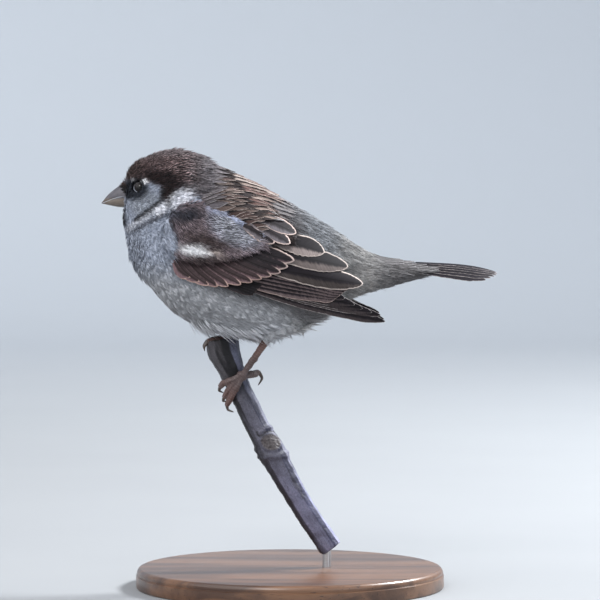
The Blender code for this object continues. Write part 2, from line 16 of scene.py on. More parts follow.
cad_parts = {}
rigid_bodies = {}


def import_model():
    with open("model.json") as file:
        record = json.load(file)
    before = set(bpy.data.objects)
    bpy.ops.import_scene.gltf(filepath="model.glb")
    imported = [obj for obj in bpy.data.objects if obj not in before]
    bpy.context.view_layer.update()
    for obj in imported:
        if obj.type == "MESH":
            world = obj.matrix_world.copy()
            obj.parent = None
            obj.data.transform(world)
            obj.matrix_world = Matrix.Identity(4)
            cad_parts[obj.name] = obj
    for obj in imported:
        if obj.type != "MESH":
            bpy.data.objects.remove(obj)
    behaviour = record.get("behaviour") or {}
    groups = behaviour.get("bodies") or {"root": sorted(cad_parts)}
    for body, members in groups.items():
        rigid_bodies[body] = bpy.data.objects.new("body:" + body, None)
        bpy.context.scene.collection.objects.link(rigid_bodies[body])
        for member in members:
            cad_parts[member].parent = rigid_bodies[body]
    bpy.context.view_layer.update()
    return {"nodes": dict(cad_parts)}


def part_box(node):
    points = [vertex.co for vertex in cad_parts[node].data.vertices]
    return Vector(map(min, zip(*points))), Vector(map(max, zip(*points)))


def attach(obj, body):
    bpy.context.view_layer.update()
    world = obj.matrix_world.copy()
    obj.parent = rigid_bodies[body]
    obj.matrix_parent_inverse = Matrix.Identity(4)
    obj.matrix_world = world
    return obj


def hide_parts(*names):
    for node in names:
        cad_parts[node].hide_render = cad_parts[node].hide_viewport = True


MM = 0.001
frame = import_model()
NODES = frame["nodes"]

FLESH = ("head", "neck", "trunk", "rump", "thigh_left", "thigh_right")
WING_GROUPS = ("primaries", "secondaries", "tertials", "greater_coverts", "shoulder", "scapulars")
OUTWARDS = {"left": -1.0, "right": 1.0}  # which way each side of the bird faces along y
UP = np.array([0.0, 0.0, 1.0])
SCUTES_PER_MM = 1.15  # plates along a leg


def box_mm(node):
    low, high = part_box(node)
    return np.array(low) / MM, np.array(high) / MM


BILL_LOW, BILL_HIGH = box_mm("bill_upper")
BEAK = np.array([BILL_HIGH[0] + 1.5, 0.0, BILL_LOW[2] + 1.5])  # where the bill's middle meets the face

# ---------------- colours, in linear light

BLACK = (0.010, 0.009, 0.010)
SLATE = (0.020, 0.017, 0.019)
MASK = (0.023, 0.026, 0.034)
# painted shade on the wing's bend, under the feathers of the neck and breast
WING_BEND_SHADE = (0.050, 0.050, 0.064)
DARK_BROWN = (0.052, 0.036, 0.034)
CROWN_BROWN = (0.110, 0.074, 0.073)
NAPE_BROWN = (0.100, 0.089, 0.096)
BROWN = (0.105, 0.080, 0.074)
CHESTNUT = (0.022, 0.013, 0.013)
PALE_BUFF = (0.430, 0.365, 0.330)
EDGE_PINK = (0.420, 0.330, 0.300)
COVERT_BROWN = (0.218, 0.171, 0.186)
COVERT_WEB = (0.130, 0.084, 0.091)
RUSTY_EDGE = (0.340, 0.235, 0.205)
SECONDARY_WEB = (0.098, 0.074, 0.074)
SECONDARY_EDGE = (0.340, 0.260, 0.230)
TERTIAL_WEB = (0.110, 0.090, 0.085)
PRIMARY_DARK = (0.012, 0.010, 0.012)
PRIMARY_WEB = (0.042, 0.034, 0.035)
PRIMARY_EDGE = (0.330, 0.300, 0.290)
# painted bluish sky reflection on the wing's small coverts, and a paler one along their upper edge
SKY_SHEEN_GREY = (0.455, 0.460, 0.530)
PALE_SKY_SHEEN = (0.480, 0.520, 0.680)
BREAST_GREY = (0.325, 0.356, 0.428)
BELLY_GREY = (0.372, 0.378, 0.398)
# painted shade under the folded wing
UNDER_WING_SHADE = (0.150, 0.145, 0.150)
VENT_WHITE = (0.322, 0.318, 0.312)
CHEEK_GREY = (0.338, 0.364, 0.415)
NECK_WHITE = (0.710, 0.715, 0.765)
WHITE = (0.860, 0.860, 0.880)
BACK_GREY = (0.195, 0.201, 0.215)
RUMP_BUFF = (0.270, 0.263, 0.258)
TAIL_COVERT = (0.125, 0.119, 0.121)
TAIL_BROWN = (0.019, 0.017, 0.021)
TAIL_DARK = (0.011, 0.009, 0.011)
TAIL_EDGE = (0.270, 0.240, 0.235)


# ---------------- small tools


def along(points, t):
    """The point at t, from 0 to 1, on a smooth curve through the points."""
    points = np.asarray(points, float)
    t = min(max(t, 0.0), 1.0) * (len(points) - 1)
    i = min(int(t), len(points) - 2)
    f = t - i
    before = points[i - 1] if i else 2 * points[0] - points[1]
    after = points[i + 2] if i + 2 < len(points) else 2 * points[-1] - points[-2]
    a, b = points[i], points[i + 1]
    bend = 2 * before - 5 * a + 4 * b - after
    twist = 3 * (a - b) + after - before
    return a + 0.5 * f * ((b - before) + f * (bend + f * twist))


def unit(vectors):
    return vectors / np.maximum(np.linalg.norm(vectors, axis=-1, keepdims=True), 1e-9)


def gaps(points, spot):
    """How far points are from one spot."""
    return np.linalg.norm(points - spot, axis=1)


def ease(low, high, value):
    """0 below low, 1 above high, and a smooth step between."""
    f = np.clip((value - low) / (high - low), 0.0, 1.0)
    return f * f * (3 - 2 * f)


def mixed(base, colour, share):
    """Colours with a share of another colour laid over them, point by point."""
    return base + (np.asarray(colour) - base) * np.asarray(share)[:, None]


def gathered(items, field, width=3):
    """A field of a mesh's items, as one row for each item."""
    flat = np.empty(len(items) * width, np.float32)
    items.foreach_get(field, flat)
    return flat.reshape(-1, width).astype(float)


def coordinates(mesh):
    """A mesh's points in millimetres."""
    return gathered(mesh.vertices, "co") / MM


def vertex_normals(mesh):
    return gathered(mesh.vertex_normals, "vector")


def face_places(mesh):
    """The middles of a mesh's faces in millimetres, and which way they face."""
    return gathered(mesh.polygons, "center") / MM, gathered(mesh.polygons, "normal")


def set_attribute(mesh, name, values):
    values = np.asarray(values, float)
    kinds = {1: ("FLOAT", "value"), 3: ("FLOAT_VECTOR", "vector"), 4: ("FLOAT_COLOR", "color")}
    kind, field = kinds[1 if values.ndim == 1 else values.shape[1]]
    made = mesh.attributes.get(name) or mesh.attributes.new(name, kind, "POINT")
    made.data.foreach_set(field, values.astype(np.float32).ravel())


def colours(values):
    return np.column_stack([values, np.ones(len(values))])


def move_points(mesh, points):
    mesh.vertices.foreach_set("co", (points * MM).astype(np.float32).ravel())
    mesh.update()


def unwrap(mesh, spots):
    """Stores a place on the piece's own unwrap for each of its points."""
    corners = np.empty(len(mesh.loops), np.int32)
    mesh.loops.foreach_get("vertex_index", corners)
    mesh.uv_layers.new(name="OFBake").data.foreach_set("uv", spots[corners].astype(np.float32).ravel())


def linked(name, data):
    """A new object in the scene."""
    made = bpy.data.objects.new(name, data)
    bpy.context.scene.collection.objects.link(made)
    return made


def new_piece(name, mesh, slot, *nodes, material=None):
    """Links a finished mesh as a piece of the model, and hides the solids that it stands for."""
    mesh.name = name
    mesh.shade_smooth()
    piece = linked(name, mesh)
    if material:
        mesh.materials.clear()
        mesh.materials.append(material)
    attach(piece, "root")
    if nodes:
        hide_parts(*nodes)
    return piece


@contextmanager
def edited(mesh):
    """A mesh opened for editing, and written back at the end."""
    built = bmesh.new()
    built.from_mesh(mesh)
    yield built
    built.to_mesh(mesh)
    built.free()


def mesh_from(name, points, faces, scale=MM):
    mesh = bpy.data.meshes.new(name)
    mesh.from_pydata((np.asarray(points, float) * scale).tolist(), [], faces)
    with edited(mesh) as built:
        bmesh.ops.recalc_face_normals(built, faces=built.faces)
    return mesh


def ring_faces(rings, around, first=0):
    """The faces between closed rings of points that follow each other."""
    return [
        (a + k, a + (k + 1) % around, a + around + (k + 1) % around, a + around + k)
        for a in range(first, first + (rings - 1) * around, around)
        for k in range(around)
    ]


def closed_rings(loops, around):
    """The faces of a tube whose last ring joins its first."""
    total = loops * around
    return [tuple(k % total for k in face) for face in ring_faces(loops + 1, around)]


def fan(centre, around, first):
    """The faces that close a ring of points with its centre."""
    return [(centre, first + k, first + (k + 1) % around) for k in range(around)]


def lathed(profile, around):
    """Points of a profile of (radius, z) turned round the z axis."""
    turns = [2 * math.pi * k / around for k in range(around)]
    return [(reach * math.cos(turn), reach * math.sin(turn), z) for reach, z in profile for turn in turns]


def evaluated(obj):
    """The mesh that an object's modifiers give."""
    graph = bpy.context.evaluated_depsgraph_get()
    return bpy.data.meshes.new_from_object(obj.evaluated_get(graph))


def baked(obj):
    """The mesh that an object's modifiers give, with the object removed."""
    mesh = evaluated(obj)
    bpy.data.objects.remove(obj)
    return mesh


def solid_copies(names, grow=0.0):
    """One mesh of some solids, each with its points merged and pushed outwards."""
    joined = bpy.data.meshes.new("solids")
    with edited(joined) as built:
        for name in names:
            mesh = NODES[name].data.copy()
            with edited(mesh) as part:
                bmesh.ops.remove_doubles(part, verts=part.verts, dist=0.002 * MM)
                part.normal_update()
                for vert in part.verts:
                    vert.co += vert.normal * grow * MM
            built.from_mesh(mesh)
            bpy.data.meshes.remove(mesh)
    return joined


def remeshed(mesh, voxel, smoothing):
    """One even skin over all of a mesh, smoothed."""
    guide = linked("guide", mesh)
    voxels = guide.modifiers.new("voxels", "REMESH")
    voxels.mode = "VOXEL"
    voxels.voxel_size = voxel * MM
    voxels.use_smooth_shade = True
    even = guide.modifiers.new("even", "SMOOTH")
    even.factor = 0.5
    even.iterations = smoothing
    return baked(guide)


def ray_tree(mesh):
    return BVHTree.FromPolygons([v.co for v in mesh.vertices], [tuple(p.vertices) for p in mesh.polygons])


def surface_tree(names):
    mesh = solid_copies(names)
    tree = ray_tree(mesh)
    bpy.data.meshes.remove(mesh)
    return tree


def eye_centre(side):
    low, high = box_mm(f"eye_{side}")
    return (low + high) / 2 + np.array([0.35, 0.0, -0.45])


# ---------------- nodes


class Nodes:
    """Adds nodes to one tree, and gives back their sockets."""

    def __init__(self, tree):
        self.tree = tree

    def feed(self, socket, value):
        """Links a socket to another, or sets its value."""
        if isinstance(value, bpy.types.NodeSocket):
            self.tree.links.new(value, socket)
        else:
            socket.default_value = (*value, 1.0)[:4] if socket.type == "RGBA" else value

    def add(self, kind, inputs=(), **settings):
        """A node with its settings, and with values or links for its inputs by name or number."""
        made = self.tree.nodes.new(kind)
        for key, value in settings.items():
            setattr(made, key, value)
        for key, value in dict(inputs).items():
            self.feed(made.inputs[key], value)
        return made

    def math(self, operation, *values):
        return self.add("ShaderNodeMath", enumerate(values), operation=operation).outputs[0]

    def times(self, a, b):
        return self.math("MULTIPLY", a, b)

    def less(self, a, b):
        return self.math("SUBTRACT", a, b)

    def fit(self, value, factor, offset):
        """A value times a factor, with an offset added."""
        return self.math("MULTIPLY_ADD", value, factor, offset)

    def vector(self, operation, inputs, output=0):
        return self.add("ShaderNodeVectorMath", inputs, operation=operation).outputs[output]

    def joined(self, *values):
        return self.add("ShaderNodeCombineXYZ", enumerate(values)).outputs[0]

    def parts(self, vector):
        return self.add("ShaderNodeSeparateXYZ", {0: vector}).outputs

    def step(self, value, low, high):
        """0 below low, 1 above high, and a smooth step between."""
        inputs = {0: value, 1: low, 2: high}
        return self.add("ShaderNodeMapRange", inputs, interpolation_type="SMOOTHSTEP").outputs[0]

    def fall(self, value, low, high):
        """1 below low, 0 above high, and a smooth step between."""
        return self.less(1.0, self.step(value, low, high))

    def mix(self, share, a, b, blend="MIX"):
        inputs = {0: share, 6: a, 7: b}
        return self.add("ShaderNodeMix", inputs, data_type="RGBA", blend_type=blend).outputs[2]

    def dimmed(self, colour, level):
        """A colour times a level."""
        grey = self.add("ShaderNodeCombineColor", {0: level, 1: level, 2: level}).outputs[0]
        return self.mix(1.0, colour, grey, "MULTIPLY")

    def read(self, name, output="Fac"):
        return self.add("ShaderNodeAttribute", attribute_name=name).outputs[output]

    def tint(self, name):
        return self.read(name, "Color")

    def place(self):
        """Where a point of the piece is, in metres."""
        return self.add("ShaderNodeTexCoord").outputs["Object"]

    def mapped(self, vector=None, **inputs):
        vector = self.place() if vector is None else vector
        return self.add("ShaderNodeMapping", {"Vector": vector, **inputs}).outputs[0]

    def noise(self, scale, detail=2.0, vector=None):
        vector = self.place() if vector is None else vector
        inputs = {"Vector": vector, "Scale": scale, "Detail": detail}
        return self.add("ShaderNodeTexNoise", inputs).outputs["Fac"]


class Finish(Nodes):
    """A new material, with its shader's constant sockets set, named as in the panel."""

    def __init__(self, name, roughness, **sockets):
        self.material = bpy.data.materials.new(name)
        self.material.use_nodes = True
        super().__init__(self.material.node_tree)
        self.shader = self.tree.nodes["Principled BSDF"].inputs
        self.feed(self.shader["Roughness"], roughness)
        for key, value in sockets.items():
            self.feed(self.shader[key.replace("_", " ")], value)

    def close(self, colour, height=None, depth=0.0, strength=0.5):
        """The finished material, with its colour and a bump of a depth in millimetres."""
        self.feed(self.shader["Base Color"], colour)
        if height is not None:
            inputs = {"Height": height, "Distance": depth * MM, "Strength": strength}
            self.feed(self.shader["Normal"], self.add("ShaderNodeBump", inputs).outputs[0])
        return self.material


# ---------------- plumage materials

# What each tuft of the coat tells its material, and what the bare skin stands in for it.
TUFT_VALUES = {"Along": 0.5, "Across": 0.0, "Streak": 0.0, "Shade": 0.5, "Ply": 0.5}


def plumage_group():
    """Colour and fibre height of soft feathers: a dark root, a pale tip, and a dark shaft streak."""
    tree = bpy.data.node_groups.new("plumage", "ShaderNodeTree")
    new_socket = tree.interface.new_socket
    for name in ("Tint", "Tip tint"):
        new_socket(name, in_out="INPUT", socket_type="NodeSocketColor")
    for name, value in TUFT_VALUES.items():
        new_socket(name, in_out="INPUT", socket_type="NodeSocketFloat").default_value = value
    new_socket("Color", in_out="OUTPUT", socket_type="NodeSocketColor")
    new_socket("Height", in_out="OUTPUT", socket_type="NodeSocketFloat")
    n = Nodes(tree)
    given, out = n.add("NodeGroupInput").outputs, n.add("NodeGroupOutput").inputs
    tint, lengthwise, streak, ply = given["Tint"], given["Along"], given["Streak"], given["Ply"]
    blotch, fibre = n.noise(240.0, 3.0), n.noise(2600.0)
    dark = n.mix(n.fit(streak, 0.42, 0.24), tint, (0.014, 0.014, 0.016))
    body = n.mix(n.step(lengthwise, 0.0, 0.50), dark, tint)
    pale = n.times(n.step(lengthwise, 0.45, 0.95), n.fit(ply, 0.6, 0.40))
    body = n.mix(pale, body, given["Tip tint"])
    shaft = n.fall(n.math("ABSOLUTE", given["Across"]), 0.22, 0.60)
    shaft = n.times(n.times(shaft, streak), n.fall(lengthwise, 0.80, 0.98))
    body = n.mix(shaft, body, BLACK)
    level = n.fit(n.less(given["Shade"], 0.5), n.fit(streak, 0.80, 0.22), 1.02)
    ply = n.times(n.less(ply, 0.5), n.fit(streak, 0.40, 0.14))
    level = n.times(level, n.math("ADD", ply, 1.02))
    for grain in (blotch, fibre):
        level = n.times(level, n.fit(grain, 0.3, 0.85))
    n.feed(out["Color"], n.dimmed(body, level))
    n.feed(out["Height"], fibre)
    return tree


def plumage_material(name, group, followed=()):
    """Soft plumage. On the coat it also follows each tuft's own values."""
    n = Finish(name, 0.70, Sheen_Weight=0.03, Sheen_Roughness=0.5, Specular_IOR_Level=0.12)
    inputs = {"Tint": n.tint("tuft_tint"), "Tip tint": n.tint("tip_tint")}
    inputs |= {key: n.read(key.lower()) for key in followed}
    made = n.add("ShaderNodeGroup", inputs, node_tree=group).outputs
    return n.close(made["Color"], made["Height"], 0.06, 0.6)


def vane_material():
    """Stiff feathers: a dark centre, a softer web, a narrow edge, a shaft and fine slanting barbs."""
    n = Finish("vane", 0.62, Specular_IOR_Level=0.06)
    across, fringe, lay = n.read("across"), n.read("fringe"), n.parts(n.read("lay", "Vector"))
    slant = n.less(lay[1], n.math("ABSOLUTE", lay[0]))
    on_vane = n.joined(slant, n.times(across, 0.35), lay[2])
    barbs, wear = n.noise(2.6, 3.0, on_vane), n.less(n.noise(0.9, 3.0, on_vane), 0.5)
    margin = n.fit(wear, 0.45, n.read("margin"))
    edge = n.fall(margin, n.times(fringe, 0.55), n.fit(fringe, 1.25, 0.05))
    edge = n.times(edge, n.step(n.read("along"), 0.05, 0.35))
    web = n.step(n.fit(wear, 0.9, n.read("web_share")), 0.2, 0.8)
    colour = n.mix(web, n.tint("tint"), n.tint("web"))
    shaft = n.fall(n.math("ABSOLUTE", across), 0.02, 0.09)
    colour = n.mix(n.times(shaft, 0.7), colour, (0.006, 0.005, 0.005))
    colour = n.mix(edge, colour, n.tint("edge"))
    level = n.times(n.fit(barbs, 1.1, 0.45), n.fit(n.read("shade"), 0.4, 0.8))
    return n.close(n.dimmed(colour, level), barbs, 0.07)


# ---------------- markings


class Markings:
    """The plumage at some points: tint, tint of the tips, and how dark a streak each feather has."""

    def __init__(self, points, tint, lift):
        self.points = points
        self.tint = np.tile(tint, (len(points), 1))
        self.tip = self.tint * (1 + lift)
        self.streak = np.zeros(len(points))

    def lay(self, colour, share, lift=0.15, streak=0.0):
        """Lays a colour over a share of the plumage, with its tips lighter by lift."""
        self.tint = mixed(self.tint, colour, share)
        self.tip = mixed(self.tip, np.asarray(colour) * (1 + lift), share)
        self.streak = self.streak * (1 - share) + streak * share

    def spot(self, centre, reach, turn=0.0):
        """A soft round mark in side view, the same on both sides: 1 at its centre, 0 past its reach."""
        angle = math.radians(turn)
        dx, dz = (self.points[:, [0, 2]] - centre).T
        u = (dx * math.cos(angle) + dz * math.sin(angle)) / reach[0]
        v = (dz * math.cos(angle) - dx * math.sin(angle)) / reach[1]
        return 1.0 - ease(0.55, 1.15, np.hypot(u, v))

    def line(self, line, width):
        """A crisp stripe along a line of points (x, z), twice width wide."""
        return ease(width + 0.35, width - 0.25, gap_to_line(self.points, line))

    def store(self, mesh):
        set_attribute(mesh, "tuft_tint", colours(self.tint))
        set_attribute(mesh, "tip_tint", colours(np.minimum(self.tip, 0.9)))
        set_attribute(mesh, "streak", self.streak)


def above_wing(points):
    """Positive on the back, above the folded wing's upper edge, and negative under it."""
    return (points[:, 2] - 119.0) + 0.50 * (points[:, 0] + 6.0)


def band(points, start, slope, width):
    """A soft stripe in side view, through a point (x, z) and rising by slope."""
    centre = start[1] + slope * (points[:, 0] - start[0])
    return np.exp(-(((points[:, 2] - centre) / width) ** 2))


def gap_to_line(points, line):
    """Distances in side view to a line of points (x, z)."""
    spots = np.array([along(line, i / 40) for i in range(41)])
    return np.sqrt(((points[:, None, [0, 2]] - spots[None]) ** 2).sum(2).min(1))


# Lines on the side of the head, as (x, z): the cheek's dark rear edge, the pale ruff, and the painted shadow
# line under it.
CHEEK_EDGE = ((-43.2, 139.2), (-44.4, 136.0), (-46.8, 133.8), (-50.0, 131.5), (-53.6, 128.9))
RUFF = ((-43.2, 134.6), (-45.8, 132.5), (-49.7, 130.1), (-53.2, 127.8), (-56.4, 125.6))
RUFF_SHADOW_LINE = ((-43.4, 131.0), (-46.6, 129.2), (-50.4, 127.2), (-54.6, 124.6))


def body_markings(points):
    x, side, z = points[:, 0], np.abs(points[:, 1]), points[:, 2]
    made = Markings(points, BREAST_GREY, 0.4)
    back = ease(-1.5, 1.5, above_wing(points))
    made.lay(BELLY_GREY, ease(118.0, 104.0, z), 0.16)
    made.lay(VENT_WHITE, ease(-6.0, 8.0, x) * (1 - back) * 0.85, 0.2)
    # back and rump
    made.lay(BACK_GREY, back * ease(-6.0, 4.0, x), 0.55, 0.25)
    made.lay(RUMP_BUFF, ease(12.0, 22.0, x), 0.4, 0.2)
    made.lay(TAIL_COVERT, ease(25.0, 36.0, x), 0.5, 0.3)
    mantle = back * ease(-29.0, -23.0, x) * (1 - ease(-4.0, 6.0, x + 0.15 * (z - 135.0)))
    made.lay(BROWN, mantle, 1.1, 0.9)
    # nape and crown
    upper = ease(-1.5, 1.5, z - 140.8 + 0.22 * (x + 50.0)) * ease(-19.0, -26.0, x)
    made.lay(NAPE_BROWN, upper * ease(-46.0, -36.0, x), 0.9, 0.35)
    crown = ease(-1.2, 1.2, z - 142.6 + 0.05 * (x + 50.0)) * ease(-28.0, -38.0, x)
    made.lay(CROWN_BROWN, crown, 2.2, 1.2)
    made.lay(DARK_BROWN, crown * ease(-46.0, -54.0, x), 3.0, 1.2)
    made.lay(NAPE_BROWN, crown * ease(149.0, 152.5, z) * 0.6, 1.3, 0.6)
    # the chestnut behind the eye and down the neck
    made.lay(CHESTNUT, made.spot((-43.4, 143.2), (8.4, 3.4), -16.0), 2.6, 0.9)
    made.lay(CHESTNUT, made.spot((-41.9, 138.2), (3.4, 6.8), -10.0), 1.4, 0.9)
    # cheek, neck side and the pale ruff that closes the cheek off from the breast
    made.lay(CHEEK_GREY, made.spot((-49.2, 134.2), (6.6, 5.6), -12.0), 0.8, 0.45)
    made.lay(NECK_WHITE, made.spot((-37.6, 135.8), (5.4, 3.7), 34.0) * 0.9, 0.2)
    # a painted shadow line under the ruff
    made.lay(SLATE, made.line(RUFF_SHADOW_LINE, 0.55) * 0.75, 0.9, 0.4)
    made.lay(NECK_WHITE, made.line(RUFF, 0.95) * 0.62, 0.2, 0.2)
    made.lay(NECK_WHITE, made.spot((-44.4, 132.6), (2.8, 1.7), 36.0), 0.2)
    made.lay(BLACK, made.line(CHEEK_EDGE, 0.65) * 0.9, 0.9, 0.3)
    # the black mask: lores, round the eye, and two white spots over it
    made.lay(MASK, made.spot((-55.8, 139.4), (3.4, 4.2), 28.0), 0.8)
    made.lay(MASK, made.spot((-52.8, 139.7), (4.9, 4.6), 20.0), 0.8)
    made.lay(WHITE, made.spot((-50.1, 142.5), (1.35, 1.05), -40.0), 0.1)
    made.lay(WHITE, made.spot((-54.4, 142.9), (0.7, 0.45), 20.0) * 0.6, 0.1)
    # bib and breast
    bib = ease(8.5, 4.0, side)
    made.lay(BLACK, made.spot((-57.6, 130.0), (2.7, 4.2)) * bib * 0.95, 3.0, 0.4)
    made.lay(BREAST_GREY, made.spot((-54.0, 118.5), (5.0, 8.5), 12.0) * 0.5, 0.6, 1.0)
    # painted shade on the flank under the folded wing, and under the wing tips
    flank = ease(-34.0, -22.0, x) * ease(8.0, 15.0, side) * (1 - back)
    made.lay(UNDER_WING_SHADE, band(points, (-8.0, 101.6), -0.26, 2.0) * flank * 0.75, 0.6, 0.2)
    # painted shade under the wing tips, over the vent
    made.lay(UNDER_WING_SHADE, made.spot((8.5, 95.6), (11.0, 3.6), -10.0) * 0.8, 0.5, 0.2)
    return made


# The painted pale blue sky reflection along the upper edge of the small coverts, as (x, z).
SHEEN_EDGE_LINE = ((-27.0, 133.4), (-20.6, 130.9), (-14.9, 127.2), (-9.6, 123.6))
# The front edge of the wing's bend, under the breast's feathers: its z, and its x at each.
BEND_EDGE = ((117.0, 120.5, 126.0, 132.5, 136.0), (-38.8, -38.0, -40.6, -43.0, -43.5))


def wing_markings(points):
    """The small soft coverts of the folded wing's bend, with the white bar under them."""
    x, z = points[:, 0], points[:, 2]
    made = Markings(points, COVERT_BROWN, 1.5)
    made.streak += 0.8
    made.lay(DARK_BROWN, made.spot((-31.0, 122.6), (7.0, 3.0), -20.0) * 0.55, 2.2, 1.0)
    # painted shade on the upper front of the wing's bend, where the feathers of the neck and breast lie over
    # it
    made.lay(WING_BEND_SHADE, made.spot((-36.5, 130.6), (8.0, 3.4), 4.0), 0.8, 0.8)
    # painted bluish sky reflection over the small coverts
    made.lay(SKY_SHEEN_GREY, made.spot((-18.5, 126.0), (11.5, 6.4), -30.0), 0.9, 1.0)
    # a paler painted reflection along their upper edge
    made.lay(PALE_SKY_SHEEN, made.line(SHEEN_EDGE_LINE, 1.4) * 0.9, 0.4, 0.2)
    made.lay(DARK_BROWN, made.spot((-27.0, 120.9), (10.5, 2.3), -6.0) * 0.85, 0.8, 0.7)
    made.lay(PALE_BUFF, made.spot((-25.6, 117.3), (4.4, 1.3), -6.0) * 0.8, 0.2)
    made.lay(WHITE, made.spot((-32.4, 118.1), (6.4, 2.2), -5.0), 0.05)
    made.lay(DARK_BROWN, ease(116.3, 115.7, z) * 0.9, 0.8, 0.6)
    front = np.interp(z, *BEND_EDGE)
    # painted shade along the wing's front edge, under the breast's feathers
    made.lay(WING_BEND_SHADE, ease(2.2, 0.4, x - front) * ease(119.5, 122.0, z) * 0.8, 0.8, 0.6)
    made.lay(BREAST_GREY, ease(0.5, -0.5, x - front), 0.9, 0.3)
    return made


def scapular_markings(points):
    x, z = points[:, 0], points[:, 2]
    made = Markings(points, BROWN, 1.2)
    made.streak += 0.7
    made.lay(SLATE, ease(-3.0, 3.0, x) * 0.8, 3.6, 0.6)
    made.lay(NAPE_BROWN, ease(-24.0, -28.0, x) * ease(130.0, 134.0, z), 0.9, 0.4)
    return made


# ---------------- skin


# The lowest line of the skin between the legs and the breast: its x, and its z at each.
BELLY_LINE = ((-28.0, -17.5, -9.8, -6.3, 0.0, 7.0, 12.3), (90.6, 88.2, 87.8, 89.2, 90.4, 92.4, 96.0))


def coat_depth(points):
    """How far the skin lies under the feather tips: least round the bill, most over the thighs."""
    depth = 0.22 + 0.88 * ease(7.0, 34.0, gaps(points, BEAK))
    thigh = np.hypot((points[:, 0] - 1.0) / 13.0, (points[:, 2] - 84.0) / 8.0)
    return depth + 2.2 * ease(1.0, 0.35, thigh)


def laid_flat(lie, normals):
    """A lie turned flat on the skin under it."""
    return unit(lie - (lie * normals).sum(1)[:, None] * normals)


def feather_lie(points, normals):
    """Which way the feathers point: away from the bill, and back along the body."""
    away = unit(points - BEAK) + np.array([0.38, 0.0, -0.06])
    straight = ease(20.0, 38.0, points[:, 0])[:, None]
    return laid_flat(away * (1 - straight) + np.array([1.0, 0.0, -0.05]) * straight, normals)


def add_skin(material):
    grow = 0.25
    mesh = remeshed(solid_copies(FLESH, grow), voxel=0.62, smoothing=5)
    points, normals = coordinates(mesh), vertex_normals(mesh)
    points -= normals * (grow + coat_depth(points))[:, None]
    points[:, 1] *= 1 + 0.30 * ease(139.5, 148.5, points[:, 2]) * ease(-30.0, -38.0, points[:, 0])
    lowest = np.interp(points[:, 0], *BELLY_LINE)
    points[:, 2] = np.where(points[:, 2] < lowest, lowest + (points[:, 2] - lowest) * 0.2, points[:, 2])
    move_points(mesh, points)
    body_markings(points).store(mesh)
    return new_piece("skin", mesh, "plumage", *FLESH, material=material)


# ---------------- coat


def barb_tuft(name, seed, barbs, spread, width, rise):
    """A unit-long tuft: thin, closed, three-sided barbs with a point, from one root, bulging by rise."""
    random = np.random.default_rng(seed)
    points, faces, values = [], [], {"along": [], "across": [], "ply": []}
    for k in range(barbs):
        side = (2 * k / (barbs - 1) - 1) + random.uniform(-0.15, 0.15)
        reach = (1.0 - 0.20 * side * side) * random.uniform(0.82, 1.08)
        start = np.array([0.0, side * spread * 0.3, 0.0])
        end = np.array([reach, side * spread * 1.1, random.uniform(-0.03, 0.03)])
        ahead = unit(end - start)
        aside = np.array([-ahead[1], ahead[0], 0.0])
        a = len(points)
        for t, size in ((0.0, 0.6), (0.5, 1.0)):
            middle = start + (end - start) * t + UP * rise * math.sin(math.pi * t)
            half = aside * width * size / 2
            points += [middle - half, middle + half, middle + UP * width * size * 0.4]
        points.append(end)
        values["along"] += [0.0] * 3 + [0.5] * 3 + [1.0]
        values["across"] += [side] * 7
        values["ply"] += [random.random()] * 7
        b, c, d, e, f, g = range(a + 1, a + 7)
        faces += [(a, c, b), (a, b, e, d), (b, c, f, e), (c, a, d, f), (d, e, g), (e, f, g), (f, d, g)]
    mesh = mesh_from(name, points, faces, scale=1.0)
    for key, rows in values.items():
        set_attribute(mesh, key, rows)
    return mesh


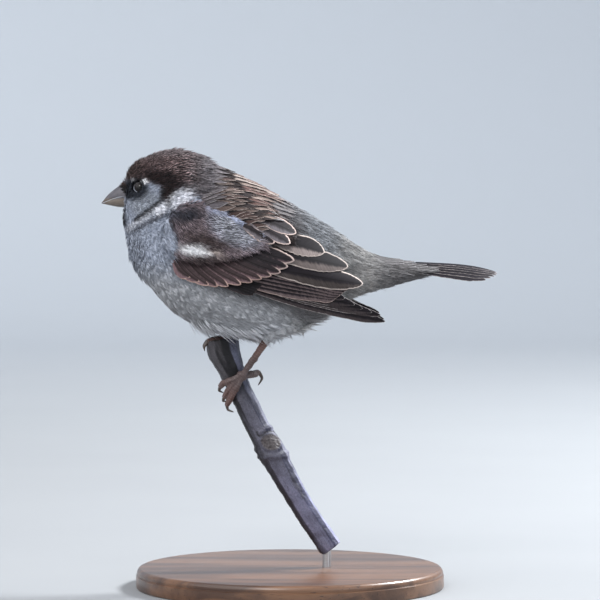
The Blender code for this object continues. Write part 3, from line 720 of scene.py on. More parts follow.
def coat_tree():
    """Geometry Nodes that set tufts on a skin, each turned to the lie stored there."""
    tree = bpy.data.node_groups.new("coat", "GeometryNodeTree")
    for name, kind, value in (
        ("Skin", "Geometry", None),
        ("Tufts", "Collection", None),
        ("Last kind", "Int", 4),
        ("Spacing", "Float", 0.001),
        ("Lift", "Float", 0.15),
        ("Loose", "Float", 0.12),
        ("Seed", "Int", 1),
        ("Finish", "Material", None),
    ):
        made = tree.interface.new_socket(name, in_out="INPUT", socket_type=f"NodeSocket{kind}")
        if value is not None:
            made.default_value = value
    tree.interface.new_socket("Coat", in_out="OUTPUT", socket_type="NodeSocketGeometry")
    n = Nodes(tree)
    given, out = n.add("NodeGroupInput").outputs, n.add("NodeGroupOutput").inputs

    def named(name, kind="FLOAT"):
        return n.add("GeometryNodeInputNamedAttribute", {"Name": name}, data_type=kind).outputs[0]

    def chance(low, high, offset, kind="FLOAT"):
        made = n.add("FunctionNodeRandomValue", data_type=kind)
        ends = [socket for socket in made.inputs if socket.enabled and socket.name in ("Min", "Max")]
        for socket, value in zip(ends, (low, high)):
            n.feed(socket, value)
        seed = n.add("FunctionNodeIntegerMath", {0: given["Seed"], 1: offset}, operation="ADD").outputs[0]
        n.feed(made.inputs["Seed"], seed)
        return next(s for s in made.outputs if s.enabled)

    def stored(geometry, name, value, kind):
        inputs = {"Geometry": geometry, "Name": name, "Value": value}
        return n.add("GeometryNodeStoreNamedAttribute", inputs, data_type=kind).outputs[0]

    spots = {
        "Mesh": given["Skin"],
        "Distance Min": given["Spacing"],
        "Density Max": 4.0e7,
        "Density Factor": named("cover"),
        "Seed": given["Seed"],
    }
    spread = n.add("GeometryNodeDistributePointsOnFaces", spots, distribute_method="POISSON").outputs
    lie = named("lie", "FLOAT_VECTOR")
    axes = {0: spread["Normal"], 1: lie}
    aim = n.add("FunctionNodeAxesToRotation", axes, primary_axis="Z", secondary_axis="X").outputs[0]
    loose = given["Loose"]
    tight = n.times(loose, -1.0)
    pitch = n.less(chance(tight, loose, 3), given["Lift"])
    turn = n.joined(chance(tight, loose, 5), pitch, chance(tight, loose, 7))
    bend = n.add("FunctionNodeEulerToRotation", {0: turn}).outputs[0]
    rotation = n.add("FunctionNodeRotateRotation", {0: aim, 1: bend}, rotation_space="LOCAL").outputs[0]
    position = n.add("GeometryNodeInputPosition").outputs[0]
    points = stored(spread["Points"], "root", position, "FLOAT_VECTOR")
    # the shade runs in streaks along the lie
    forward = n.vector("DOT_PRODUCT", {0: position, 1: lie}, "Value")
    squash = n.vector("SCALE", {0: lie, "Scale": n.times(forward, -0.72)})
    clump = n.noise(750.0, 1.0, n.vector("ADD", {0: position, 1: squash}))
    shade = n.fit(chance(0.0, 1.0, 13), 0.6, n.fit(clump, 2.0, -0.8))
    sources = {"Collection": given["Tufts"], "Separate Children": True, "Reset Children": True}
    planting = {
        "Points": stored(points, "shade", shade, "FLOAT"),
        "Instance": n.add("GeometryNodeCollectionInfo", sources).outputs[0],
        "Pick Instance": True,
        "Instance Index": chance(0, given["Last kind"], 17, "INT"),
        "Rotation": rotation,
        "Scale": n.times(named("reach"), chance(0.78, 1.22, 11)),
    }
    planted = n.add("GeometryNodeInstanceOnPoints", planting).outputs[0]
    real = n.add("GeometryNodeRealizeInstances", {"Geometry": planted}).outputs[0]
    dressed = {"Geometry": real, "Material": given["Finish"]}
    n.feed(out[0], n.add("GeometryNodeSetMaterial", dressed).outputs[0])
    return tree


# The body's bent axis in side view, from the bill to the tail's root, as (x, z).
SPINE = (
    *((-60.0, 137.0), (-50.0, 136.0), (-42.0, 128.0), (-30.0, 118.0)),
    *((-12.0, 112.0), (12.0, 109.0), (34.0, 110.0), (50.0, 111.0)),
)
PATCH, MARGIN = 0.003, 0.004  # a tuft's place on the unwrap, and the room left round them all
# The scapulars' lower edge over the wing: its x, and its z at each.
SCAPULAR_EDGE = ((-26.0, -19.5, -10.0, -4.0, 4.0), (135.6, 132.6, 128.0, 122.0, 118.5))


def round_body(points):
    """Where points of the skin lie on its own unwrap: along the body's bent axis, and round it."""
    spine = np.array([along(SPINE, i / 60) for i in range(61)])
    flat = points[:, [0, 2]]
    nearest = ((flat[:, None, :] - spine[None, :, :]) ** 2).sum(2).argmin(1)
    ahead = unit(spine[np.minimum(nearest + 1, 60)] - spine[np.maximum(nearest - 1, 0)])
    off = flat - spine[nearest]
    rise = off[:, 1] * ahead[:, 0] - off[:, 0] * ahead[:, 1]
    length = np.linalg.norm(np.diff(spine, axis=0), axis=1).sum()
    station = nearest / 60 + (off * ahead).sum(1) / length
    return np.column_stack([station, np.arctan2(points[:, 1], rise) / (2 * math.pi) + 0.5])


def over_wing(points):
    """Where points of a folded wing's skin lie on its own unwrap, which is nearly flat."""
    return np.column_stack([points[:, 0], points[:, 2] + 0.2 * np.abs(points[:, 1])])


# The kinds of tuft: how many differ, the first's seed, and each one's barbs, spread, barb width and rise.
TUFTS = {
    "fine": (6, 0, 3, 0.13, 0.125, 0.04),
    "soft": (6, 20, 5, 0.13, 0.050, 0.05),
    "loose": (5, 40, 4, 0.07, 0.040, 0.02),
}


class Coat:
    """Plants feathers on stretches of skin, with one tree and a set of tuft kinds."""

    def __init__(self, group):
        self.tree = coat_tree()
        self.finish = plumage_material("soft coat", group, TUFT_VALUES)
        self.kinds, self.seed = {}, 0
        for kind, (count, seed, *shape) in TUFTS.items():
            self.kinds[kind] = bpy.data.collections.new(f"{kind} tufts")
            for k in range(count):
                tuft = barb_tuft(f"{kind} {k}", seed + k, *shape)
                self.kinds[kind].objects.link(bpy.data.objects.new(tuft.name, tuft))

    def plant(self, name, ground_mesh, kind, spacing, lift, loose, flat=round_body):
        """One piece of the coat, with each tuft a small patch of the skin's own unwrap."""
        self.seed += 1
        ground = linked(name, ground_mesh)
        modifier = ground.modifiers.new("coat", "NODES")
        modifier.node_group = self.tree
        values = {
            "Tufts": self.kinds[kind],
            "Last kind": len(self.kinds[kind].objects) - 1,
            "Spacing": spacing * MM,
            "Lift": math.radians(lift),
            "Loose": math.radians(loose),
            "Seed": self.seed,
            "Finish": self.finish,
        }
        for item in self.tree.interface.items_tree:
            if item.item_type == "SOCKET" and item.name in values:
                modifier[item.identifier] = values[item.name]
        ground.update_tag()
        mesh = baked(ground)
        stored = mesh.attributes
        on_tuft = np.hstack([gathered(stored[key].data, "value", 1) for key in ("along", "across")])
        on_tuft[:, 1] = (np.clip(on_tuft[:, 1], -1, 1) + 1) / 2
        spots = flat(gathered(stored["root"].data, "vector") / MM)
        low, high = spots.min(0), spots.max(0)
        spots = MARGIN + (spots - low) / (high - low) * (1 - 2 * MARGIN - PATCH)
        unwrap(mesh, spots + PATCH * on_tuft)
        for spent in ("root", "lie", "reach", "cover"):
            if spent in stored:
                stored.remove(stored[spent])
        return new_piece(name, mesh, "plumage")


def stretch_of(skin_mesh, keep, longer=1.0):
    """A copy of the faces of a mesh that are kept, with the attributes of its points."""
    part = skin_mesh.copy()
    with edited(part) as built:
        gone = [f for f, kept in zip(built.faces, keep) if not kept]
        bmesh.ops.delete(built, geom=gone, context="FACES")
        reach = built.verts.layers.float["reach"]
        for vert in built.verts:
            vert[reach] *= longer
    return part


def set_growth(mesh, lie, length, cover):
    """Stores what the coat's tree reads: the feathers' lie, their length, and where they grow."""
    set_attribute(mesh, "lie", lie)
    set_attribute(mesh, "reach", length * MM)
    set_attribute(mesh, "cover", cover)


def mark_tufts(marks, points, tips, mesh):
    """Stores the markings that tufts take from near their middles, and from near their tips."""
    made = marks(points)
    made.tip = marks(tips).tip
    made.store(mesh)
    return made


def tuft_length(points):
    """Feather length: least round the bill and most at the tail's root."""
    thigh = np.hypot((points[:, 0] + 1.0) / 13.0, (points[:, 2] - 86.0) / 8.0)
    length = 1.8 + 3.3 * ease(7.0, 38.0, gaps(points, BEAK)) + 1.6 * ease(20.0, 40.0, points[:, 0])
    return length * (1 - 0.3 * ease(1.0, 0.4, thigh))


CLOSE_WING, WING_REACH = 4.5, 40.0  # how near a wing hides a tuft, and how far it is looked for


def coat_cover(points, lie, normals, length):
    """Where tufts grow: not in the eyes, on the tail's root face, or where a wing hides them whole."""
    x = points[:, 0]
    cover = 1.0 - ease(38.0, 40.0, x) * ease(0.25, 0.45, normals[:, 0])
    cover *= 1.0 - ease(43.5, 44.5, x)
    cover *= 1.0 - ease(33.0, 35.0, x) * ease(0.55, 0.80, normals[:, 2])
    for side, sign in OUTWARDS.items():
        wing = surface_tree([f"wing_{side}_{group}" for group in WING_GROUPS])
        ways = ((0.0, sign, 0.0), (0.7, sign, 0.5), (1.0, sign * 0.35, 0.1))
        ways = [Vector(way).normalized() for way in ways]
        for i in np.nonzero((points[:, 1] * sign > 4.0) & (x > -48.0))[0]:
            spot = Vector(points[i] * MM)
            tip = Vector((points[i] + lie[i] * length[i] * 0.8) * MM)
            rays = [(spot, way) for way in ways] + [(tip - ways[0] * 4.0 * MM, ways[0])]
            near = wing.ray_cast(spot, ways[0], CLOSE_WING * MM)[0]
            if near and all(wing.ray_cast(start, way, WING_REACH * MM)[0] for start, way in rays):
                cover[i] = 0.0
        cover *= ease(2.15, 2.5, gaps(points, eye_centre(side)))
    return cover


def add_coat(coat, skin):
    mesh = skin.data
    points, normals = coordinates(mesh), vertex_normals(mesh)
    lie, length = feather_lie(points, normals), tuft_length(points)
    reach = length[:, None]
    near, far = (lie * 0.42 + normals * 0.10) * reach, (lie * 0.85 + normals * 0.20) * reach
    marks = mark_tufts(body_markings, points + near, points + far, mesh)
    set_growth(mesh, lie, length, coat_cover(points, lie, normals, length))
    middles, facing = face_places(mesh)
    x, z = middles[:, 0], middles[:, 2]
    from_bill = gaps(middles, BEAK)
    head, above = from_bill < 27.0, above_wing(middles) > 0
    mantle = above & (x > -29.0) & (x < 1.0) & ~head
    tail_end = (x > 18.0) & ~head
    back = above & ~head & ~mantle
    breast = ~above & (x < -27.0) & ~head
    middle = ~above & ~breast & ~head & ~tail_end
    face = from_bill < 13.0
    forehead = face & (z > 140.8) & (x < -52.5)
    under = (facing[:, 2] < -0.78) & (x > -36.0) & (x < 20.0) & (z < 99.0)
    # name, faces, how much longer, kind of tuft, spacing in millimetres, lift and looseness in degrees
    stretches = (
        ("forehead_coat", forehead, 1.25, "fine", 0.38, 21, 9),
        ("face_coat", face & ~forehead, 1.0, "fine", 0.40, 14, 12),
        ("head_coat", head & ~face, 1.0, "fine", 0.48, 12, 14),
        ("neck_coat", back & (x < 0), 1.0, "soft", 0.60, 10, 12),
        ("breast_coat", breast, 1.0, "soft", 0.62, 6, 3.5),
        ("belly_coat", middle & (x <= -6.0), 1.0, "soft", 0.68, 7, 2.6),
        ("vent_coat", middle & (x > -6.0), 1.0, "soft", 0.68, 7, 2.6),
        ("back_coat", back & ~tail_end & (x > 0), 1.0, "soft", 0.64, 8, 10),
        ("rump_coat", tail_end, 1.1, "soft", 0.66, 6, 7),
        ("mantle_down", mantle, 0.6, "soft", 0.85, 7, 10),
    )
    for name, keep, longer, *growth in stretches:
        coat.plant(name, stretch_of(mesh, keep, longer), *growth)
    marks.tint, marks.tip = marks.tint * 1.45, marks.tip * 1.6
    marks.store(mesh)
    coat.plant("loose_underparts", stretch_of(mesh, under, 1.35), "loose", 1.2, 17, 13)


def add_nasal_feathers(coat, bill):
    """Short dark bristles that lie forwards over the bill's base and hide the join."""
    mesh = bill.data.copy()
    with edited(mesh) as built:
        bmesh.ops.triangulate(built, faces=built.faces)
    points, normals = coordinates(mesh), vertex_normals(mesh)
    x, z = points[:, 0], points[:, 2]
    marks = Markings(points, BLACK, 1.2)
    marks.lay(DARK_BROWN, ease(140.6, 142.0, z), 1.2)
    marks.store(mesh)
    front = -55.9 - 0.52 * (z - 136.0)
    cover = ease(0.2, 0.9, x - front) * ease(136.3, 137.0, z)
    set_growth(mesh, laid_flat(np.array([[-0.96, 0.0, -0.28]]), normals), np.full(len(points), 1.7), cover)
    coat.plant("nasal_feathers", mesh, "fine", 0.27, 12, 12)


def add_soft_wing(coat, side, skin_finish):
    """The bend of the folded wing and the slab of scapulars: their skins, and the soft feathers on them."""
    sign = OUTWARDS[side]
    for group, marks, length, spacing, lean in (
        ("shoulder", wing_markings, 3.6, 0.66, -36.0),
        ("scapulars", scapular_markings, 2.2, 0.85, -31.0),
    ):
        node = f"wing_{side}_{group}"
        mesh = solid_copies((node,))
        with edited(mesh) as built:
            bmesh.ops.triangulate(built, faces=built.faces)
            bmesh.ops.subdivide_edges(built, edges=built.edges, cuts=2, use_grid_fill=True)
        points = coordinates(mesh)
        if group == "scapulars":
            over_edge = points[:, 2] - np.interp(points[:, 0], *SCAPULAR_EDGE)
            sunk = 0.6 + 2.6 * ease(3.5, 0.5, over_edge) + 2.0 * ease(-24.0, -29.0, points[:, 0])
            points[:, 1] -= sign * sunk
            move_points(mesh, points)
        normals, x = vertex_normals(mesh), points[:, 0]
        angle = np.radians(lean - 26.0 * ease(-30.0, -42.0, x) - 16.0 * ease(-26.0, -12.0, x))
        lie = np.column_stack([np.cos(angle), np.zeros(len(points)), np.sin(angle)])
        along_rim = ease(0.2, 0.7, normals[:, 2])[:, None]
        lie = laid_flat(lie * (1 - along_rim) + np.array([1.0, 0.0, -0.1]) * along_rim, normals)
        marks(points).store(mesh)
        new_piece(f"{side}_{group}_skin", mesh.copy(), "plumage", node, material=skin_finish)
        set_growth(mesh, lie, np.full(len(points), length), np.ones(len(points)))
        mark_tufts(marks, points + lie * length * 0.55, points + lie * length * 0.85, mesh)
        middles, facing = face_places(mesh)
        out, x = facing[:, 1] * sign, middles[:, 0]
        outer = out > 0.30
        if group == "shoulder":
            outer |= (facing[:, 2] < 0.30) & (facing[:, 0] < 0.10) & (out > -0.35)
            outer |= (x < -24.0) & (middles[:, 2] > 124.0) & (out > -0.20)
            outer &= (x < -16.0) | (out > 0.80)
        coat.plant(f"{side}_{group}_down", stretch_of(mesh, outer), "soft", spacing, 9, 12, over_wing)
        if group == "shoulder":
            strands = stretch_of(mesh, outer, 1.2)
            coat.plant(f"{side}_shoulder_strands", strands, "loose", 1.2, 9, 12, over_wing)


# ---------------- stiff feathers


class Bed:
    """The middle surface of a thin solid, smoothed and carried on a little past its edges."""

    def __init__(self, node, out=1):
        points = coordinates(NODES[node].data)
        self.out = out
        self.flat = [k for k in (0, 1, 2) if k != out]
        self.low, self.high = points[:, self.flat].min(0), points[:, self.flat].max(0)
        self.factors = np.linalg.lstsq(self.terms(points[:, self.flat]), points[:, out], rcond=None)[0]

    def terms(self, places):
        inside = np.clip(places, self.low - 1, self.high + 1)
        u, v = (2 * (inside - self.low) / (self.high - self.low) - 1).T
        return np.column_stack([u**i * v**j for i in range(4) for j in range(4 - i)])

    def lifted(self, places, heights, outwards):
        """Points over places on the bed, at heights measured along the outward axis."""
        made = np.empty((len(places), 3))
        made[:, self.flat] = places
        made[:, self.out] = self.terms(places) @ self.factors + outwards * heights
        return made


SIDES = np.array([-1.0, -0.86, -0.58, -0.28, 0.0, 0.28, 0.58, 0.86, 1.0])  # a vane's points across it
NOTED = ("along", "across", "margin", "web_share", "lay", "tint", "web", "edge", "shade", "fringe")


class Plumes:
    """Gathers many closed vanes into one mesh."""

    def __init__(self, bed, outwards, seed):
        self.bed, self.outwards = bed, outwards
        self.random = np.random.default_rng(seed)
        self.points, self.faces, self.lists = [], [], {}
        self.count = self.total = 0

    def add(self, spine, half_width, tint, web, edge, fringe, heights, slope=0.0, blunt=0.7, rows=20,
            root_width=0.35, camber=0.2, thick=0.12, web_side=0.0, web_from=0.05, point=0.0, tipped=0.0):
        """One vane along a spine of places on the bed.

        Heights are those of its root and tip. Slope raises its far side over its near side. Web_side says
        which side of it has the web colour, web_from where that starts across it, and point how pointed its
        tip is. Tipped is how far the fringe narrows away from the tip.
        """
        t = 1 - (1 - np.linspace(0.0, 1.0, rows)) ** 1.5
        middle = np.array([along(spine, share) for share in t])
        ahead = unit(np.gradient(middle, axis=0))
        aside = np.column_stack([-ahead[:, 1], ahead[:, 0]])
        length = np.linalg.norm(np.diff(middle, axis=0), axis=1).sum()
        body = root_width + (1 - root_width) * np.sin(np.minimum(t / 0.55, 1.0) * math.pi / 2) ** 1.2
        end = np.maximum(t - blunt, 0) / (1 - blunt)
        tip = np.sqrt(np.maximum(1 - end**2, 0.0)) * (1 - point * end)
        width = half_width * body * np.maximum(tip, 0.04)
        count = len(SIDES)
        # small nicks in both edges, and a few deep ones
        nicks = self.random.uniform(-0.04, 0.02, (rows, 2))
        nicks[self.random.random((rows, 2)) < 0.06] = -0.09
        grid = np.empty((rows, count, 2))
        for i in range(rows):
            stretch = 1 + np.where(SIDES > 0, nicks[i, 1], nicks[i, 0]) * (np.abs(SIDES) > 0.99)
            grid[i] = middle[i] + aside[i] * (SIDES * stretch * width[i])[:, None]
            grid[i] -= ahead[i] * (SIDES**2 * width[i] * 0.20 * t[i])[:, None]
        outline = np.vstack([grid[:, 0], grid[-1], grid[:, -1]])
        margin = np.linalg.norm(grid[:, :, None] - outline[None, None], axis=3).min(2)
        web_share = np.clip((SIDES * np.sign(web_side) - web_from) / 0.5, 0.0, 1.0) * abs(web_side)
        for sheet in (1, -1):
            for i in range(rows):
                up = heights[0] + (heights[1] - heights[0]) * t[i] + slope * SIDES
                up = up + camber * (1 - SIDES**2) * body[i] + sheet * (thick / 2) * (1.15 - SIDES**2)
                up += 0.07 * (SIDES == 0.0) * sheet * (1 - t[i])
                self.points.append(self.bed.lifted(grid[i], up, self.outwards))
                self.note(margin=margin[i], web_share=web_share, across=SIDES, along=np.full(count, t[i]))
                lay = (SIDES * width[i], np.full(count, t[i] * length), np.full(count, self.count * 7.3))
                self.note(lay=np.column_stack(lay))
        size, start = rows * count, self.total
        self.total += 2 * size
        for name, value in (("tint", tint), ("web", web), ("edge", edge)):
            self.note(**{name: np.tile((*value, 1.0), (2 * size, 1))})
        fringes = np.repeat(fringe * (1 - tipped * ease(0.95, 0.40, t)), count)
        shade = np.full(2 * size, self.random.random())
        self.note(shade=shade, fringe=np.tile(fringes, 2), island=np.full(2 * size, self.count))
        for i in range(rows - 1):
            for j in range(count - 1):
                a = start + i * count + j
                self.faces.append((a, a + 1, a + count + 1, a + count))
                self.faces.append((a + count + size, a + count + 1 + size, a + 1 + size, a + size))
        rim = list(range(count)) + [i * count + count - 1 for i in range(1, rows)]
        rim += [(rows - 1) * count + j for j in range(count - 2, -1, -1)]
        rim += [i * count for i in range(rows - 2, 0, -1)]
        for a, b in zip(rim, rim[1:] + rim[:1]):
            self.faces.append((start + b, start + a, start + a + size, start + b + size))
        self.count += 1

    def note(self, **values):
        for name, rows in values.items():
            self.lists.setdefault(name, []).append(rows)

    def finish(self, name, slot, material, *nodes):
        """The piece, with an island on the unwrap for each vane."""
        mesh = mesh_from(name, np.vstack(self.points), self.faces)
        values = {key: np.concatenate(parts) for key, parts in self.lists.items()}
        for key in NOTED:
            set_attribute(mesh, key, values[key])
        columns = math.ceil(math.sqrt(self.count * 4.0))
        rows = math.ceil(self.count / columns)
        row, column = np.divmod(values["island"], columns)
        gap = 0.06  # round each island, in islands
        u = (column + gap + (1 - 2 * gap) * (values["across"] + 1) / 2) / columns
        v = (row + gap / 2 + (1 - gap) * values["along"]) / rows
        unwrap(mesh, np.column_stack([u, v]))
        return new_piece(name, mesh, slot, *nodes, material=material)


def between(low_line, high_line, share):
    """A spine part of the way from one line of points to another."""
    low_line, high_line = np.asarray(low_line, float), np.asarray(high_line, float)
    return low_line + (high_line - low_line) * share


def bowed(root, tip, sag):
    """A spine from a root to a tip, with its middle moved aside by sag."""
    root, tip = np.asarray(root, float), np.asarray(tip, float)
    ahead = unit(tip - root)
    return np.array([root, (root + tip) / 2 + np.array([-ahead[1], ahead[0]]) * sag, tip])


# Tips of the visible primaries, from the outermost in, as (x, z).
PRIMARY_TIPS = (
    *((33.1, 93.7), (31.5, 95.9), (28.5, 97.0), (25.2, 98.4)),
    *((22.4, 99.8), (18.9, 102.0), (16.4, 104.0)),
)
# The primary coverts' spines, the lowest and the highest.
PRIMARY_COVERTS = (
    ((-31.0, 110.5), (-22.0, 107.4), (-12.6, 103.6)),
    ((-28.0, 112.0), (-20.0, 109.6), (-9.6, 106.6)),
)
# The secondaries' spines, the lowest and the highest.
SECONDARIES = (
    ((-19.0, 108.0), (-8.0, 105.7), (2.0, 103.9), (9.5, 102.9), (15.6, 102.0)),
    ((-12.0, 115.5), (-2.0, 113.6), (7.0, 111.6), (14.6, 109.2), (21.4, 106.2)),
)
TERTIALS = (
    ((-11.0, 113.6), (2.0, 111.2), (14.0, 108.9), (25.3, 106.9)),
    ((-9.0, 118.0), (2.5, 116.4), (11.0, 114.9), (20.2, 112.9)),
    ((-7.0, 122.4), (0.0, 121.2), (6.0, 119.9), (12.0, 117.9)),
)
# Tips and roots of the greater coverts, from the front back.
GREATER_TIPS = (
    *((-34.2, 109.4), (-28.4, 106.9), (-22.4, 106.4), (-14.6, 107.6)),
    *((-8.5, 109.5), (-2.6, 111.6), (1.6, 115.4)),
)
GREATER_ROOTS = (
    *((-40.0, 114.6), (-39.0, 116.2), (-35.0, 116.4), (-31.0, 116.6)),
    *((-25.6, 117.4), (-20.0, 118.6), (-15.0, 120.6)),
)
# Roots and tips of the long scapulars.
LONG_SCAPULARS = (
    ((-16.0, 127.2), (-5.2, 121.4)),
    ((-13.5, 128.6), (0.2, 121.2)),
    ((-12.0, 130.2), (2.2, 124.6)),
)


def add_wing(side, material):
    """All the stiff feathers of one folded wing. Places are (x, z) in side view."""

    def group(name, seed):
        return Plumes(Bed(f"wing_{side}_{name}"), OUTWARDS[side], seed)

    def close(plumes, name, *nodes):
        plumes.finish(f"{side}_{name}", "wing_feathers", material, *nodes)

    flight = group("primaries", 1)
    for k, tip in enumerate(PRIMARY_TIPS):
        low = -0.46 + 0.11 * k
        spine = bowed((-20.0 + k, 107.6 + 0.8 * k), tip, -0.7)
        flight.add(spine, 1.95 + 0.12 * k, PRIMARY_DARK, PRIMARY_WEB, PRIMARY_EDGE, 0.14, (low, low + 0.1),
                   -0.04, 0.86 - 0.03 * k, rows=30, thick=0.10, web_side=-0.8, point=0.35 - 0.06 * k)
    for k in range(5):
        low = 0.24 + 0.06 * k
        flight.add(between(*PRIMARY_COVERTS, k / 4), 1.5, BLACK, SLATE, BROWN, 0.12, (low, low + 0.1),
                   thick=0.10, web_side=-0.6)
    close(flight, "primaries", f"wing_{side}_primaries")

    inner = group("secondaries", 2)
    for k in range(8):
        low = -0.46 + 0.10 * k
        inner.add(between(*SECONDARIES, k / 7), 1.9, PRIMARY_DARK, SECONDARY_WEB, SECONDARY_EDGE, 0.17,
                  (low, low + 0.1), -0.04, 0.84, rows=26, thick=0.10, web_side=-0.75)
    close(inner, "secondaries", f"wing_{side}_secondaries")

    long_vanes = group("tertials", 3)
    for k, spine in enumerate(TERTIALS):
        low = -0.36 + 0.26 * k
        web = np.array(TERTIAL_WEB) * (0.40 + 0.66 * k)
        long_vanes.add(spine, 3.7 - 0.1 * k, PRIMARY_DARK, web, PALE_BUFF, 0.36, (low, low + 0.14),
                       -0.06, 0.66, rows=30, web_side=-1.0, point=0.15)
    close(long_vanes, "tertials", f"wing_{side}_tertials")

    greater = group("greater_coverts", 4)
    for k in range(12):
        share, low = k / 11, -0.50 + 0.065 * k
        bold = float(ease(0.62, 0.9, share))
        spine = bowed(along(GREATER_ROOTS, share), along(GREATER_TIPS, share), -0.7)
        tint, edge = between((0.040, 0.028, 0.029), SLATE, bold), between(RUSTY_EDGE, EDGE_PINK, bold)
        greater.add(spine, 2.0 + 0.7 * bold, tint, COVERT_WEB, edge, 0.42 + 0.10 * bold, (low, low + 0.16),
                    0.09, 0.70 - 0.1 * bold, rows=24, thick=0.10, web_side=-0.9 + 0.3 * bold, point=0.2,
                    tipped=0.85 - 0.35 * bold)
    close(greater, "greater_coverts", f"wing_{side}_greater_coverts")

    over = group("scapulars", 6)
    for k, (root, tip) in enumerate(LONG_SCAPULARS):
        heights = (0.1 + 0.2 * k, 0.3 + 0.2 * k)
        over.add(bowed(root, tip, 0.4), 2.5, SLATE, NAPE_BROWN, EDGE_PINK, 0.40, heights, blunt=0.6,
                 web_side=-0.8, point=0.1)
    close(over, "long_scapulars")


class Saddle:
    """A bed over one side of the back. Places are (x, arc round the body from its ridge) in millimetres."""

    RADIUS, OUTSIDE, LEAST = 24.0, 50.0, 8.0  # of the arcs, where rays start, and the least reach
    START = np.array([40.0, 5.0])  # how far the grid of reaches starts before x = 0 and before the ridge

    def __init__(self, skin, side):
        trees = (ray_tree(skin.data), surface_tree([f"wing_{side}_scapulars"]))
        self.reaches = np.zeros((51, 43))
        for i, j in np.ndindex(*self.reaches.shape):
            (middle,), (way,) = self.ray(np.array([[i, j]]) - self.START, OUTWARDS[side])
            start, way = Vector((middle + way * self.OUTSIDE) * MM), Vector(way)
            hits = [tree.ray_cast(start, -way)[0] for tree in trees]
            reaches = [(hit / MM - Vector(middle)).dot(way) for hit in hits if hit]
            self.reaches[i, j] = max([*reaches, self.LEAST])
        for _ in range(5):
            wide = np.pad(self.reaches, 1, mode="edge")
            beside = wide[:-2, 1:-1] + wide[2:, 1:-1] + wide[1:-1, :-2] + wide[1:-1, 2:]
            self.reaches = (self.reaches * 2 + beside) / 6

    def ray(self, places, outwards):
        """The body's middle at each place, and the way out from it."""
        (x, arc), none = places.T, np.zeros(len(places))
        middle = np.column_stack([x, none, np.interp(x, (-34.0, 6.0), (122.0, 107.0))])
        angle = arc / self.RADIUS
        return middle, np.column_stack([none, outwards * np.sin(angle), np.cos(angle)])

    def lifted(self, places, heights, outwards):
        """Points over places on the bed, at heights measured along the way out."""
        places = np.asarray(places, float)
        spot = np.clip(places + self.START, 0.0, np.array(self.reaches.shape) - 1.001)
        i, j = spot.astype(int).T
        f, g = (spot - np.floor(spot)).T
        low = self.reaches[i, j] * (1 - f) + self.reaches[i + 1, j] * f
        high = self.reaches[i, j + 1] * (1 - f) + self.reaches[i + 1, j + 1] * f
        middle, way = self.ray(places, outwards)
        return middle + way * (low * (1 - g) + high * g + heights)[:, None]


# Lines over the back in side view, as (x, z): the black line over the scapulars, and the buff brace.
DARK_LINE = ((-25.4, 148.0), (-17.5, 141.0), (-13.1, 135.4), (-7.4, 129.2), (-2.8, 124.6))
BRACE = ((-24.0, 146.2), (-16.0, 142.8), (-6.1, 138.0))


def mantle_colours(spot, arc, chance):
    """Tint, web and edge of a feather of the back whose tip is near a spot, and that far from the ridge."""
    places = np.array([spot])
    if spot[0] < -22.8:
        return (0.040, 0.033, 0.034), NAPE_BROWN, (0.24, 0.22, 0.22)
    if gap_to_line(places, DARK_LINE)[0] < 1.15:
        return BLACK, (0.030, 0.024, 0.024), (0.075, 0.060, 0.056)
    if gap_to_line(places, BRACE)[0] < 1.3 and arc > 2.4:
        return SLATE, (0.30, 0.245, 0.220), (0.44, 0.375, 0.345)
    below = spot[2] < np.interp(spot[0], [p[0] for p in DARK_LINE], [p[1] for p in DARK_LINE])
    if below:
        web = (0.112, 0.083, 0.074) if chance > 0.45 else (0.060, 0.040, 0.037)
        return (0.010, 0.009, 0.010), web, (0.34, 0.285, 0.26)
    if spot[0] > -4.0:
        return (0.036, 0.033, 0.037), (0.170, 0.155, 0.155), (0.27, 0.26, 0.27)
    web = (0.110, 0.068, 0.061) if chance > 0.35 else (0.188, 0.145, 0.128)
    return (0.012, 0.010, 0.010), web, (0.33, 0.265, 0.24)


def add_mantle(skin, side, material):
    """The mantle and the scapulars: long vanes laid like tiles over one side of the back."""
    plumes = Plumes(Saddle(skin, side), OUTWARDS[side], 21)

    def over_back(place):
        return plumes.bed.lifted([place], np.zeros(1), OUTWARDS[side])[0]

    for row, start in enumerate(np.arange(2.4, -28.5, -3.5)):
        for column in range(19):
            arc = 0.8 + 1.55 * column + 0.77 * (row % 2)
            tip = np.array([start, arc]) + plumes.random.uniform((-1.1, -0.35), (1.1, 0.35))
            spot, end = over_back(tip - [2.0, 0.0]), over_back(tip)
            x, z = end[0], end[2]
            if z < np.interp(x, *SCAPULAR_EDGE) - 0.4 or above_wing(np.array([end]))[0] < 0.5:
                continue
            if x + 0.15 * (z - 135.0) > 2.5 or (x > -7.0 and z < 127.6):
                continue
            tint, web, edge = mantle_colours(spot, arc, plumes.random.random())
            lean = math.radians(plumes.random.uniform(-4.0, 4.0) - 9.0 * float(ease(5.0, 16.0, arc)))
            root = tip - plumes.random.uniform(8.6, 10.4) * np.array([math.cos(lean), math.sin(lean)])
            low = -0.1 + 0.05 * (column % 3)
            plumes.add((root, (root + tip) / 2, tip), 1.15, tint, web, edge, 0.12, (low, low + 1.25), 0.10,
                       0.5, rows=12, camber=0.14, thick=0.09, web_side=0.95, web_from=-0.45, point=0.45)
    plumes.finish(f"{side}_mantle_feathers", "wing_feathers", material)


